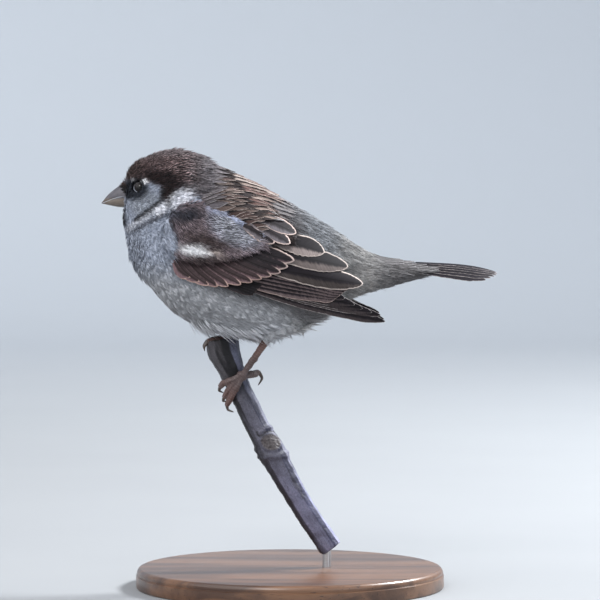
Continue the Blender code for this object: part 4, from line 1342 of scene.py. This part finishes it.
def add_tail(material):
    """Twelve tail feathers, the middle pair on top. Places are (x, y) seen from above."""
    feathers = Plumes(Bed("tail", out=2), 1.0, 9)
    low, high = box_mm("tail")
    root_x, tip_x = low[0] - 3.0, high[0]
    for k in range(5, -1, -1):
        for side in (-1, 1):
            outer = k / 5
            root = (root_x, side * (0.5 + 3.0 * outer))
            tip = (tip_x - 0.8 * (1 - outer) ** 2 - 5.0 * outer**2, side * (1.2 + 7.6 * outer))
            middle = ((root_x + tip[0]) / 2, side * (0.9 + 5.2 * outer))
            level = 0.80 - 0.38 * k - 0.05 * (side > 0)
            heights = (level, level - 0.9 + 0.7 * outer)
            feathers.add((root, middle, tip), 2.6, TAIL_DARK, TAIL_BROWN, TAIL_EDGE, 0.15, heights,
                         blunt=0.80, rows=26, root_width=0.7, web_side=side, point=0.45)
    feathers.finish("tail_feathers", "tail_feathers", material, "tail")


class RumpBed:
    """A bed that drapes on the rump, above or below, and carries straight on past it."""

    END, HALF_WIDTH, ROOT_Z = 43.0, 6.0, 111.5  # of the rump, where the tail's root is

    def __init__(self, body, above):
        self.body = body
        self.start, self.slope, self.gap = (200.0, 0.10, 1.0) if above else (0.0, -0.14, 0.5)

    def lifted(self, places, heights, outwards):
        made = []
        for (x, y), height in zip(places, heights):
            inside, aside = min(x, self.END), max(min(y, self.HALF_WIDTH), -self.HALF_WIDTH)
            start = Vector((inside, aside * 0.7, self.start)) * MM
            hit = self.body.ray_cast(start, Vector((0.0, 0.0, -outwards)))[0]
            z = (hit.z / MM if hit else self.ROOT_Z) - (x - inside) * self.slope
            made.append((x, y, z + outwards * (height + self.gap - 0.03 * y * y)))
        return np.array(made)


def add_tail_coverts(material, skin):
    """Long coverts that close the rump over the tail's root, above and below."""
    body = ray_tree(skin.data)
    for name, above, starts, reach, colour in (
        ("upper_tail_coverts", True, (38.0, 34.0, 30.0, 26.0), 13.5, TAIL_COVERT),
        ("under_tail_coverts", False, (36.0, 31.0, 26.0), 16.0, RUMP_BUFF),
    ):
        plumes = Plumes(RumpBed(body, above), 1.0 if above else -1.0, 13 + above)
        tint, web, edge = np.outer((0.6, 1.0, 1.8), colour)
        for row, start in enumerate(starts):
            for k in range(8 - row % 2):
                y = (k - 3.5 + 0.5 * (row % 2)) * 1.35
                x, length = np.array([start, reach]) + plumes.random.uniform(-0.8, 0.8, 2)
                spine = ((x, y * 0.9), (x + length * 0.5, y), (x + length, y * 1.1))
                low = 0.12 * row + 0.04 * (k % 2)
                plumes.add(spine, 1.45, tint, web, edge, 0.20, (low - 1.1, low), blunt=0.55, rows=16,
                           thick=0.10, web_side=0.8, web_from=-0.4, point=0.5)
        plumes.finish(name, "plumage", material)


# ---------------- bill, eyes, legs


def horn_material():
    """Grey horn above the cutting edge, yellower below, with a painted highlight along the ridge and a dark
    tip.
    """
    n = Finish("bill horn", 0.42, Specular_IOR_Level=0.35)
    x, _, z = n.parts(n.place())
    lower = n.mix(n.noise(900.0), (0.205, 0.168, 0.138), (0.095, 0.080, 0.070))
    upper = n.mix(n.noise(700.0), (0.050, 0.047, 0.054), (0.128, 0.121, 0.136))
    colour = n.mix(n.step(z, 0.1357, 0.1369), lower, upper)
    # painted highlight along the culmen's ridge
    ridge = n.times(n.step(n.read("ridge"), 0.80, 1.0), 0.75)
    colour = n.mix(ridge, colour, (0.50, 0.48, 0.48))
    front = float(BILL_LOW[0]) * MM
    tip = n.times(n.step(x, front + 3.4 * MM, front + 0.2 * MM), 0.75)
    colour = n.mix(tip, colour, (0.06, 0.045, 0.04))
    return n.close(colour, n.noise(2200.0, 3.0), 0.04)


# Lines of the bill in side view, from the base to the tip, and half its width along them.
CULMEN = ((-57.0, 142.2), (-60.6, 139.95), (-63.4, 137.75), (-65.4, 135.4), (-65.95, 134.7))
CUTTING_EDGE = ((-54.6, 136.4), (-58.6, 136.9), (-61.8, 136.2), (-64.6, 135.1), (-65.9, 134.55))
GONYS = ((-55.8, 133.1), (-59.6, 133.3), (-62.6, 133.85), (-64.8, 134.35), (-65.5, 134.45))
BILL_HALF_WIDTHS = (4.2, 3.4, 2.35, 1.0, 0.18)


def bill_half(name, outer_line, side, material, node):
    """A half of the bill as a loft: an arched outer face, and a flat face along the mouth."""
    upper, narrow, roundness = (1, 1.0, 0.82) if side > 0 else (0, 0.88, 0.7)
    rings, wide = 26, 21
    points, ridge = [], []
    for t in np.linspace(0.0, 1.0, rings):
        edge, outer = along(CUTTING_EDGE, t), along(outer_line, t)
        half = along(np.array(BILL_HALF_WIDTHS)[:, None], t)[0] * narrow
        middle = np.array([edge[0], 0.0, edge[1] + side * 0.07])
        rise = np.array([outer[0], 0.0, outer[1]]) - middle
        for angle in np.linspace(0.0, math.pi, wide):
            off = angle - math.pi / 2
            keel = 1 + 0.06 * math.exp(-((off / 0.22) ** 2)) * upper * (1 - t)
            bulge = math.sin(angle) ** roundness * keel
            points.append(middle + rise * bulge + np.array([0.0, half * math.cos(angle), 0.0]))
            # how much of the painted highlight along the culmen falls here
            ridge.append(math.exp(-((off / 0.32) ** 2)) * upper)
    ends = [tuple(range(wide)), tuple(range((rings - 1) * wide, rings * wide))]
    mesh = mesh_from(name, points, ring_faces(rings, wide) + ends)
    set_attribute(mesh, "ridge", ridge)
    piece = new_piece(name, mesh, "bill", node, material=material)
    piece.data.set_sharp_from_angle(angle=math.radians(50))
    return piece


def eye_material():
    """A near-black brown eye under a clear wet coat."""
    n = Finish("eye", 0.10, Coat_Weight=0.12, Coat_Roughness=0.02, Specular_IOR_Level=0.20)
    rim = n.read("along")
    iris = n.mix(n.noise(1800.0, 3.0), (0.006, 0.005, 0.006), (0.013, 0.010, 0.010))
    colour = n.mix(n.step(rim, 0.44, 0.50), (0.002, 0.002, 0.002), iris)
    return n.close(n.mix(n.step(rim, 0.80, 0.95), colour, (0.004, 0.003, 0.003)))


def lid_material():
    n = Finish("lid skin", 0.55)
    wrinkles = n.noise(3000.0, 3.0)
    low = n.mix(wrinkles, (0.06, 0.064, 0.080), (0.135, 0.145, 0.175))
    return n.close(n.mix(n.read("upper"), low, (0.022, 0.021, 0.024)), wrinkles, 0.08, 0.8)


IRIS, OPENING = 1.95, 1.88  # radii of the eye's dark rim and of the opening of its lids


def add_eye(side, eye_finish, lid_finish):
    """An eyeball with a slightly domed cornea, and two beaded lids that leave an almond-round opening."""
    low, high = box_mm(f"eye_{side}")
    radius = (high[2] - low[2]) / 2
    centre = eye_centre(side) + np.array([0.25, 0.0, 0.0])
    out = unit(np.array([-0.12, 0.99 * OUTWARDS[side], 0.08]))
    ahead = unit(np.cross(UP, out)) * OUTWARDS[side]
    up = unit(np.cross(out, ahead)) * OUTWARDS[side]
    rings, around = 17, 36
    points, lengthwise = [], []
    for i in range(1, rings + 1):
        angle = math.pi * i / (rings + 1)
        dome = 1.0 + 0.03 * math.exp(-((angle / 0.7) ** 2))
        for turn in (2 * math.pi * k / around for k in range(around)):
            spoke = ahead * math.cos(turn) + up * math.sin(turn)
            points.append(centre + (out * math.cos(angle) + spoke * math.sin(angle)) * radius * dome)
        rim = min(math.sin(angle) * radius / IRIS, 1.0) if angle < math.pi / 2 else 1.0
        lengthwise += [rim] * around
    points += [centre + out * radius * 1.03, centre - out * radius]
    front, last = rings * around, (rings - 1) * around
    faces = ring_faces(rings, around) + fan(front, around, 0) + fan(front + 1, around, last)
    mesh = mesh_from(f"{side}_eyeball", points, faces)
    set_attribute(mesh, "along", [*lengthwise, 0.0, 1.0])
    new_piece(f"{side}_eyeball", mesh, "eye", f"eye_{side}", material=eye_finish)

    points, upper, loops, tube = [], [], 64, 10
    for turn in (2 * math.pi * k / loops for k in range(loops)):
        corner = math.exp(-(math.cos(turn / 2) ** 2) * 14)
        reach = OPENING * (1.0 + 0.10 * corner + 0.05 * math.cos(2 * turn))
        spoke = ahead * math.cos(turn) + up * math.sin(turn) * 0.94
        surface = math.sqrt(max(radius**2 - reach**2, 0.1)) + 0.10
        thick = 0.23 + 0.035 * math.cos(20 * turn) + 0.03 * (math.sin(turn) < 0)
        for bend in (2 * math.pi * j / tube for j in range(tube)):
            rise = surface + thick * 0.75 * math.sin(bend)
            points.append(centre + spoke * (reach + thick * math.cos(bend)) + out * rise)
        upper += [float(ease(-0.35, 0.45, math.sin(turn)))] * tube
    lids = mesh_from(f"{side}_eyelids", points, closed_rings(loops, tube))
    set_attribute(lids, "upper", upper)
    new_piece(f"{side}_eyelids", lids, "leg", material=lid_finish)


def leg_material():
    """Scaly skin: pale-edged plates that ring toes and shank, counted outwards from the foot's pad."""
    n = Finish("leg scales", 0.50, Specular_IOR_Level=0.4)
    out = n.read("from_pad")
    cell = n.math("FRACT", n.fit(out, SCUTES_PER_MM, n.times(n.noise(420.0), 0.9)))
    seam = n.step(n.math("ABSOLUTE", n.less(cell, 0.5)), 0.38, 0.5)
    skin = n.mix(n.noise(500.0, 3.0), (0.085, 0.045, 0.039), (0.150, 0.085, 0.072))
    skin = n.mix(n.times(n.fall(out, 4.0, 12.0), 0.75), skin, (0.060, 0.047, 0.048))
    colour = n.mix(n.times(seam, 0.30), skin, (0.20, 0.165, 0.16))
    return n.close(colour, n.less(n.noise(1500.0), n.times(seam, 1.5)), 0.12, 0.8)


def claw_material():
    n = Finish("claw horn", 0.32, Coat_Weight=0.2)
    grain = n.noise(1200.0, 3.0)
    return n.close(n.mix(grain, (0.022, 0.015, 0.012), (0.075, 0.052, 0.042)), grain, 0.04, 0.4)


def claw_sections(node):
    """The middles and the radii of a solid claw's sections, from its root to its tip, the narrowest."""
    corners = 6  # of each section
    left = np.unique(np.round(coordinates(NODES[node].data), 3), axis=0)
    apart = np.sort(np.linalg.norm(left[:, None] - left[None], axis=2), axis=1)
    start = left[apart[:, :corners].mean(1).argmin()]
    middles, radii = [], []
    while len(left) >= corners:
        order = gaps(left, start).argsort()
        ring, left = left[order[:corners]], left[order[corners:]]
        start = ring.mean(0)
        middles.insert(0, start)
        radii.insert(0, gaps(ring, start).mean())
    return np.array(middles), np.array(radii)


def add_claw(points, faces, middles, radii):
    """A smooth horn tube through a claw's sections, carried on to a fine point."""
    flat = unit(np.cross(middles[0] - middles[2], middles[-1] - middles[2]))
    root, tip = unit(middles[0] - middles[1]) * 0.5, unit(middles[-1] - middles[-2]) * 0.55
    middles = np.vstack([middles[0] + root, middles, middles[-1] + tip])
    radii = np.concatenate([radii[:1], radii, [0.04]])
    rings, around = 20, 12
    first = len(points)
    for t in np.linspace(0.0, 1.0, rings):
        ahead = unit(along(middles, t + 0.01) - along(middles, t - 0.01))
        up = np.cross(flat, ahead)
        radius = max(along(radii[:, None], t)[0] * (1.18 - 0.35 * t), 0.04)
        for turn in (2 * math.pi * k / around for k in range(around)):
            spoke = up * math.cos(turn) * 1.1 + flat * math.sin(turn) * 0.85
            points.append(along(middles, t) + spoke * radius)
    faces += ring_faces(rings, around, first)
    faces += [tuple(range(k, k + around)) for k in (first, len(points) - around)]


def add_leg(side, leg_finish, claw_finish):
    """Shank and foot as one skin with a scale pattern, and the claws as smooth horn."""
    foot, shank = f"foot_{side}", f"shank_{side}"
    mesh = remeshed(solid_copies((foot, shank), grow=0.56), voxel=0.22, smoothing=3)
    points, normals = coordinates(mesh), vertex_normals(mesh)
    foot_points, shank_points = coordinates(NODES[foot].data), coordinates(NODES[shank].data)
    apart = np.linalg.norm(foot_points[:, None] - shank_points[None], axis=2)
    pad = foot_points[apart.min(1).argmin()]
    from_pad = gaps(points, pad)
    scutes = 0.03 * np.cos(from_pad * SCUTES_PER_MM * 2 * math.pi) * ease(1.5, 3.0, from_pad)
    knobs = np.array([0.48 * noise.noise(Vector(p * 0.52)) for p in points]) * ease(11.0, 8.0, from_pad)
    move_points(mesh, points + normals * (scutes + knobs - 0.12)[:, None])
    set_attribute(mesh, "from_pad", from_pad)
    new_piece(f"{side}_leg", mesh, "leg", foot, shank, material=leg_finish)
    claws = [name for name in NODES if name.startswith(f"claw_{side}_")]
    points, faces = [], []
    for name in claws:
        add_claw(points, faces, *claw_sections(name))
    mesh = mesh_from(f"{side}_claws", points, faces)
    new_piece(f"{side}_claws", mesh, "claw", *claws, material=claw_finish)


# ---------------- twig and stand


def bark_material():
    """Smooth lilac-grey bark with painted light and shade in bands round the twig, and a painted shadow
    under the joint's lip; wrinkles, pale lenticels and cut ends.
    """
    n = Finish("bark", 0.55, Specular_IOR_Level=0.22)
    spot = n.mapped(Rotation=(0.0, math.radians(31.0), 0.0))
    drawn_out = n.mapped(spot, Scale=(1.0, 1.0, 0.16))
    wrinkles, fine = n.noise(700.0, 4.0, drawn_out), n.noise(1900.0, 4.0, spot)
    # which way the bark faces across the view, wavering a little: the painted light and shade follow it
    sway = n.fit(n.noise(260.0, 3.0, drawn_out), 0.9, -0.45)
    turn = n.math("ADD", n.read("turn"), sway)

    def lit_bands(colour, *bands):
        """Painted light and shade: a colour with others over it, each from where it starts round the twig to
        where it is full.
        """
        for low, high, over in bands:
            colour = n.mix(n.step(turn, low, high), colour, over)
        return colour

    # painted light and shade above the joint: a mid-grey side, a dark shaded middle and a bluish lit side
    upper = lit_bands(
        (0.056, 0.052, 0.058),
        (-0.48, -0.10, (0.007, 0.0065, 0.008)),
        (0.30, 0.72, (0.080, 0.083, 0.118)),
    )
    # painted light and shade below the joint: a dark edge, a lit side, a dark bluish middle and a pale rim
    # lit from behind
    lower = lit_bands(
        (0.018, 0.016, 0.019),
        (-0.85, -0.45, (0.082, 0.080, 0.104)),
        (0.22, 0.42, (0.028, 0.028, 0.046)),
        (0.70, 0.95, (0.150, 0.150, 0.195)),
    )
    height_up = n.parts(n.place())[2]
    # the painted bands below the joint are brighter towards the twig's lower end
    foot = n.mix(1.0, lower, (1.55, 1.55, 1.75), "MULTIPLY")
    lower = n.mix(n.step(height_up, 0.050, 0.026), lower, foot)
    colour = n.mix(n.step(height_up, 0.062, 0.074), lower, upper)
    mottle = n.times(n.fit(n.noise(130.0, 4.0, spot), 1.7, 0.15), n.fit(fine, 1.2, 0.4))
    cells = n.add("ShaderNodeTexVoronoi", {"Vector": drawn_out, "Scale": 330.0}).outputs["Distance"]
    speck = n.fall(cells, 0.03, 0.06)
    wood = n.mix(n.noise(900.0, 4.0), (0.045, 0.036, 0.032), (0.150, 0.120, 0.098))
    scab = n.mix(n.step(fine, 0.35, 0.65), (0.042, 0.035, 0.036), (0.082, 0.070, 0.068))
    colour = n.dimmed(colour, mottle)
    for share, over in (
        (n.times(n.step(wrinkles, 0.44, 0.34), 0.55), (0.016, 0.013, 0.014)),
        (n.times(speck, 0.45), (0.26, 0.23, 0.23)),
        (n.read("cut"), wood),
        (n.times(n.read("scar"), 0.9), scab),
        # painted shadow under the joint's lip
        (n.read("crease"), (0.014, 0.012, 0.013)),
    ):
        colour = n.mix(share, colour, over)
    height = n.fit(speck, 0.5, n.math("ADD", wrinkles, n.times(fine, 0.5)))
    return n.close(colour, height, 0.22, 0.8)


# On the twig's swollen joint, as (x, z): the lip over the leaf scar, the scar itself, and the ring under it.
LIP = ((-10.4, 54.6), (-8.4, 56.0), (-5.6, 56.0), (-3.4, 54.4))
SCAR, SCAR_REACH, SCAR_TURN = (-6.8, 51.2), (3.6, 2.7), 24.0
RING = ((-12.4, 48.2), (-9.0, 46.6), (-5.4, 46.0), (-1.0, 46.4))


def add_twig(material):
    """The cut length of twig, with swellings, a lipped leaf scar at its joint, and weathered cut ends."""
    mesh = remeshed(solid_copies(("perch",)), voxel=0.34, smoothing=3)
    points, normals = coordinates(mesh), vertex_normals(mesh)
    low, high = box_mm("perch")
    axis = unit(np.array([high[0] - low[0] - 9.0, 0.0, low[2] - high[2] + 5.0]))
    top = ease(high[2] - 4.0, high[2] - 2.0, points[:, 2])
    bottom = ease(low[2] + 4.5, low[2] + 2.0, points[:, 2])
    cut = ease(0.86, 0.97, np.abs(normals @ axis)) * np.maximum(top, bottom)
    rough = np.array([[noise.noise(Vector(p * scale)) for scale in (0.11, 0.42, 1.5)] for p in points])
    swell = (rough @ np.array([0.30, 0.18, 0.10])) * (1 - 0.7 * cut) - 0.05
    front = ease(0.25, -0.35, normals[:, 1])
    angle = math.radians(SCAR_TURN)
    dx, dz = points[:, 0] - SCAR[0], points[:, 2] - SCAR[1]
    u = (dx * math.cos(angle) - dz * math.sin(angle)) / SCAR_REACH[0]
    v = (dz * math.cos(angle) + dx * math.sin(angle)) / SCAR_REACH[1]
    in_scar = np.hypot(u, v)
    scar = front * ease(1.05, 0.85, in_scar)
    lip = np.exp(-((gap_to_line(points, LIP) / 0.75) ** 2))
    swell += front * 0.75 * lip * (1 + 0.5 * rough[:, 1])
    swell += scar * (0.28 + 0.05 * np.cos(in_scar * 14.0) + 0.22 * rough[:, 2])
    swell += front * 0.35 * np.exp(-(((in_scar - 1.05) / 0.12) ** 2))
    round_twig = np.abs(points[:, 2] - 46.4 - 0.15 * (points[:, 0] + 6.0))
    ring_gap = np.minimum(gap_to_line(points, RING), round_twig) / 0.9
    swell += 0.45 * np.exp(-(ring_gap**2)) * (1 + 0.8 * rough[:, 1])
    points = points + normals * swell[:, None]
    points[:, 2] += 1.5 * ease(high[2] - 4.2, high[2] - 1.8, points[:, 2]) * ease(-8.0, -16.0, points[:, 0])
    move_points(mesh, points)
    across = unit(np.array([-axis[2], 0.0, axis[0]]))
    # a painted shadow under the joint's lip, over the scar
    crease = front * np.exp(-(((gap_to_line(points, LIP) - 1.15) / 0.35) ** 2))
    crease *= (points[:, 2] < 55.0) & (in_scar > 0.9)
    set_attribute(mesh, "cut", cut)
    set_attribute(mesh, "scar", scar)
    set_attribute(mesh, "crease", np.clip(crease * 0.85, 0, 1))
    # how far each point faces left or right in side view: the bark's painted light and shade follow it
    set_attribute(mesh, "turn", normals @ across)
    new_piece("twig", mesh, "bark", "perch", material=material)


def wood_material():
    """Oiled dark hardwood, its grain along x."""
    n = Finish("base wood", 0.34, Coat_Weight=0.25, Coat_Roughness=0.25)
    grain = {"Vector": n.mapped(Scale=(6.0, 60.0, 60.0)), "Scale": 2.0, "Detail": 6.0, "Distortion": 0.6}
    bands = n.step(n.add("ShaderNodeTexNoise", grain).outputs[0], 0.35, 0.65)
    pores = n.noise(140.0, 3.0, n.mapped(Scale=(1.0, 14.0, 14.0)))
    colour = n.mix(bands, (0.052, 0.022, 0.011), (0.150, 0.072, 0.036))
    return n.close(n.mix(n.step(pores, 0.60, 0.72), colour, (0.030, 0.013, 0.007)), pores, 0.05, 0.4)


def add_base(material):
    """The turned base: a lathe shape with a rounded shoulder and a fine bead, and a hole for the rod."""
    low, high = box_mm("stand_base")
    radius, top = (high[0] - low[0]) / 2, high[2]
    rod_low, rod_high = box_mm("stand_rod")
    rod_x, hole = (rod_low[0] + rod_high[0]) / 2, ((rod_high[0] - rod_low[0]) / 2 + 0.12) * MM
    profile = [(radius - 0.7, 0.0), (radius - 0.15, 0.25), (radius, 0.9)]
    profile += [(radius, top - 2.6), (radius - 0.5, top - 2.35), (radius - 0.5, top - 2.05)]
    for a in np.linspace(0.1, math.pi / 2, 7):
        profile.append((radius - 0.3 - 1.5 * (1 - math.cos(a)), top - 1.8 + 1.8 * math.sin(a)))
    around, rings = 144, len(profile)
    points = lathed(profile, around) + [(0.0, 0.0, 0.0), (0.0, 0.0, top)]
    under = rings * around
    faces = ring_faces(rings, around) + fan(under, around, 0) + fan(under + 1, around, under - around)
    base = new_piece("base", mesh_from("base", points, faces), "base", "stand_base", material=material)
    base.data.set_sharp_from_angle(angle=math.radians(40))
    drill_mesh = bpy.data.meshes.new("drill")
    with edited(drill_mesh) as built:
        bmesh.ops.create_cone(built, cap_ends=True, segments=48, radius1=hole, radius2=hole, depth=8 * MM)
        bmesh.ops.translate(built, vec=(rod_x * MM, 0.0, (top + 0.1) * MM), verts=built.verts)
    drill = linked("drill", drill_mesh)
    cut = base.modifiers.new("rod hole", "BOOLEAN")
    cut.object = drill
    cut.solver = "EXACT"
    base.data = evaluated(base)
    base.modifiers.clear()
    bpy.data.objects.remove(drill)


def steel_material():
    n = Finish("brushed steel", 0.30, Metallic=1.0)
    brush = n.noise(300.0, 2.0, n.mapped(Scale=(1.0, 1.0, 40.0)))
    return n.close(n.mix(brush, (0.40, 0.40, 0.41), (0.56, 0.56, 0.57)), brush, 0.02)


# ---------------- stage, in metres


def add_stage():
    """A pale round floor that rises all round into a backdrop."""
    flat, bend, height, around = 1.5, 0.8, 2.6, 96
    turns = np.linspace(0.1, math.pi / 2, 12)
    profile = [(0.3, 0.0), (flat, 0.0)]
    profile += [(flat + bend * math.sin(turn), bend - bend * math.cos(turn)) for turn in turns]
    profile += [(flat + bend, height)]
    faces = fan(len(profile) * around, around, 0)
    faces += [face[::-1] for face in ring_faces(len(profile), around)]
    mesh = bpy.data.meshes.new("floor")
    mesh.from_pydata(lathed(profile, around) + [(0.0, 0.0, 0.0)], [], faces)
    mesh.shade_smooth()
    floor = linked("floor", mesh)
    n = Finish("pale floor", 0.8)
    x, y, _ = n.parts(n.place())
    away = n.vector("LENGTH", {0: n.joined(x, y)}, "Value")
    # painted darker near the middle, where the lamps light the floor most, and paler out to the backdrop, so
    # that the stage renders more evenly pale
    near = n.mix(n.noise(9.0), (0.25, 0.257, 0.268), (0.27, 0.277, 0.286))
    mesh.materials.append(n.close(n.mix(n.step(away, 0.3, 2.2), near, (0.66, 0.69, 0.72))))


def aimed(name, data, spot, target):
    """A lamp or a camera at a spot, turned to a target."""
    made = linked(name, data)
    made.location = spot
    made.rotation_euler = (Vector(target) - Vector(spot)).to_track_quat("-Z", "Y").to_euler()
    return made


def add_lights_and_camera():
    world = bpy.data.worlds.new("studio")
    world.use_nodes = True
    sky, strength = world.node_tree.nodes["Background"].inputs[:2]
    sky.default_value = (0.80, 0.87, 1.0, 1)
    strength.default_value = 0.72
    bpy.context.scene.world = world
    for name, spot, size, power, colour in (
        ("sky", (-0.70, -0.75, 1.10), 2.40, 23.0, (1.0, 0.97, 0.94)),
        ("key", (-0.35, -1.05, 1.00), 0.30, 6.5, (1.0, 0.98, 0.96)),
        ("fill", (0.9, -1.0, 0.40), 1.0, 4.0, (0.90, 0.95, 1.0)),
        ("rim", (0.75, 0.40, 0.80), 0.30, 30.0, (0.95, 0.98, 1.0)),
    ):
        lamp = bpy.data.lights.new(name, "AREA")
        lamp.shape = "DISK"
        lamp.size, lamp.energy, lamp.color = size, power, colour
        aimed(name, lamp, spot, (0.0, 0.0, 0.10))
    lens = bpy.data.cameras.new("camera")
    lens.lens, lens.sensor_width, lens.clip_start = 200.0, 36.0, 0.01
    view_width, elevation = 0.210, math.radians(2.5)
    distance = view_width * lens.lens / lens.sensor_width
    target = Vector((0.0035, 0.0, 0.1008))
    spot = target + Vector((0.0, -math.cos(elevation), math.sin(elevation))) * distance
    bpy.context.scene.camera = aimed("camera", lens, spot, target)
    bpy.context.scene.view_settings.view_transform = "Standard"


# ---------------- the model

add_stage()
add_lights_and_camera()

plumage = plumage_group()
skin_finish = plumage_material("skin plumage", plumage)
skin = add_skin(skin_finish)
coat = Coat(plumage)
add_coat(coat, skin)

vane = vane_material()
for side in OUTWARDS:
    add_soft_wing(coat, side, skin_finish)
    add_mantle(skin, side, vane)
    add_wing(side, vane)
add_tail(vane)
add_tail_coverts(vane, skin)

horn = horn_material()
add_nasal_feathers(coat, bill_half("bill_upper_horn", CULMEN, 1, horn, "bill_upper"))
bill_half("bill_lower_horn", GONYS, -1, horn, "bill_lower")
eye_finish, lid_finish = eye_material(), lid_material()
leg_finish, claw_finish = leg_material(), claw_material()
for side in OUTWARDS:
    add_eye(side, eye_finish, lid_finish)
    add_leg(side, leg_finish, claw_finish)

add_twig(bark_material())
add_base(wood_material())
NODES["stand_rod"].data.materials.clear()
NODES["stand_rod"].data.materials.append(steel_material())
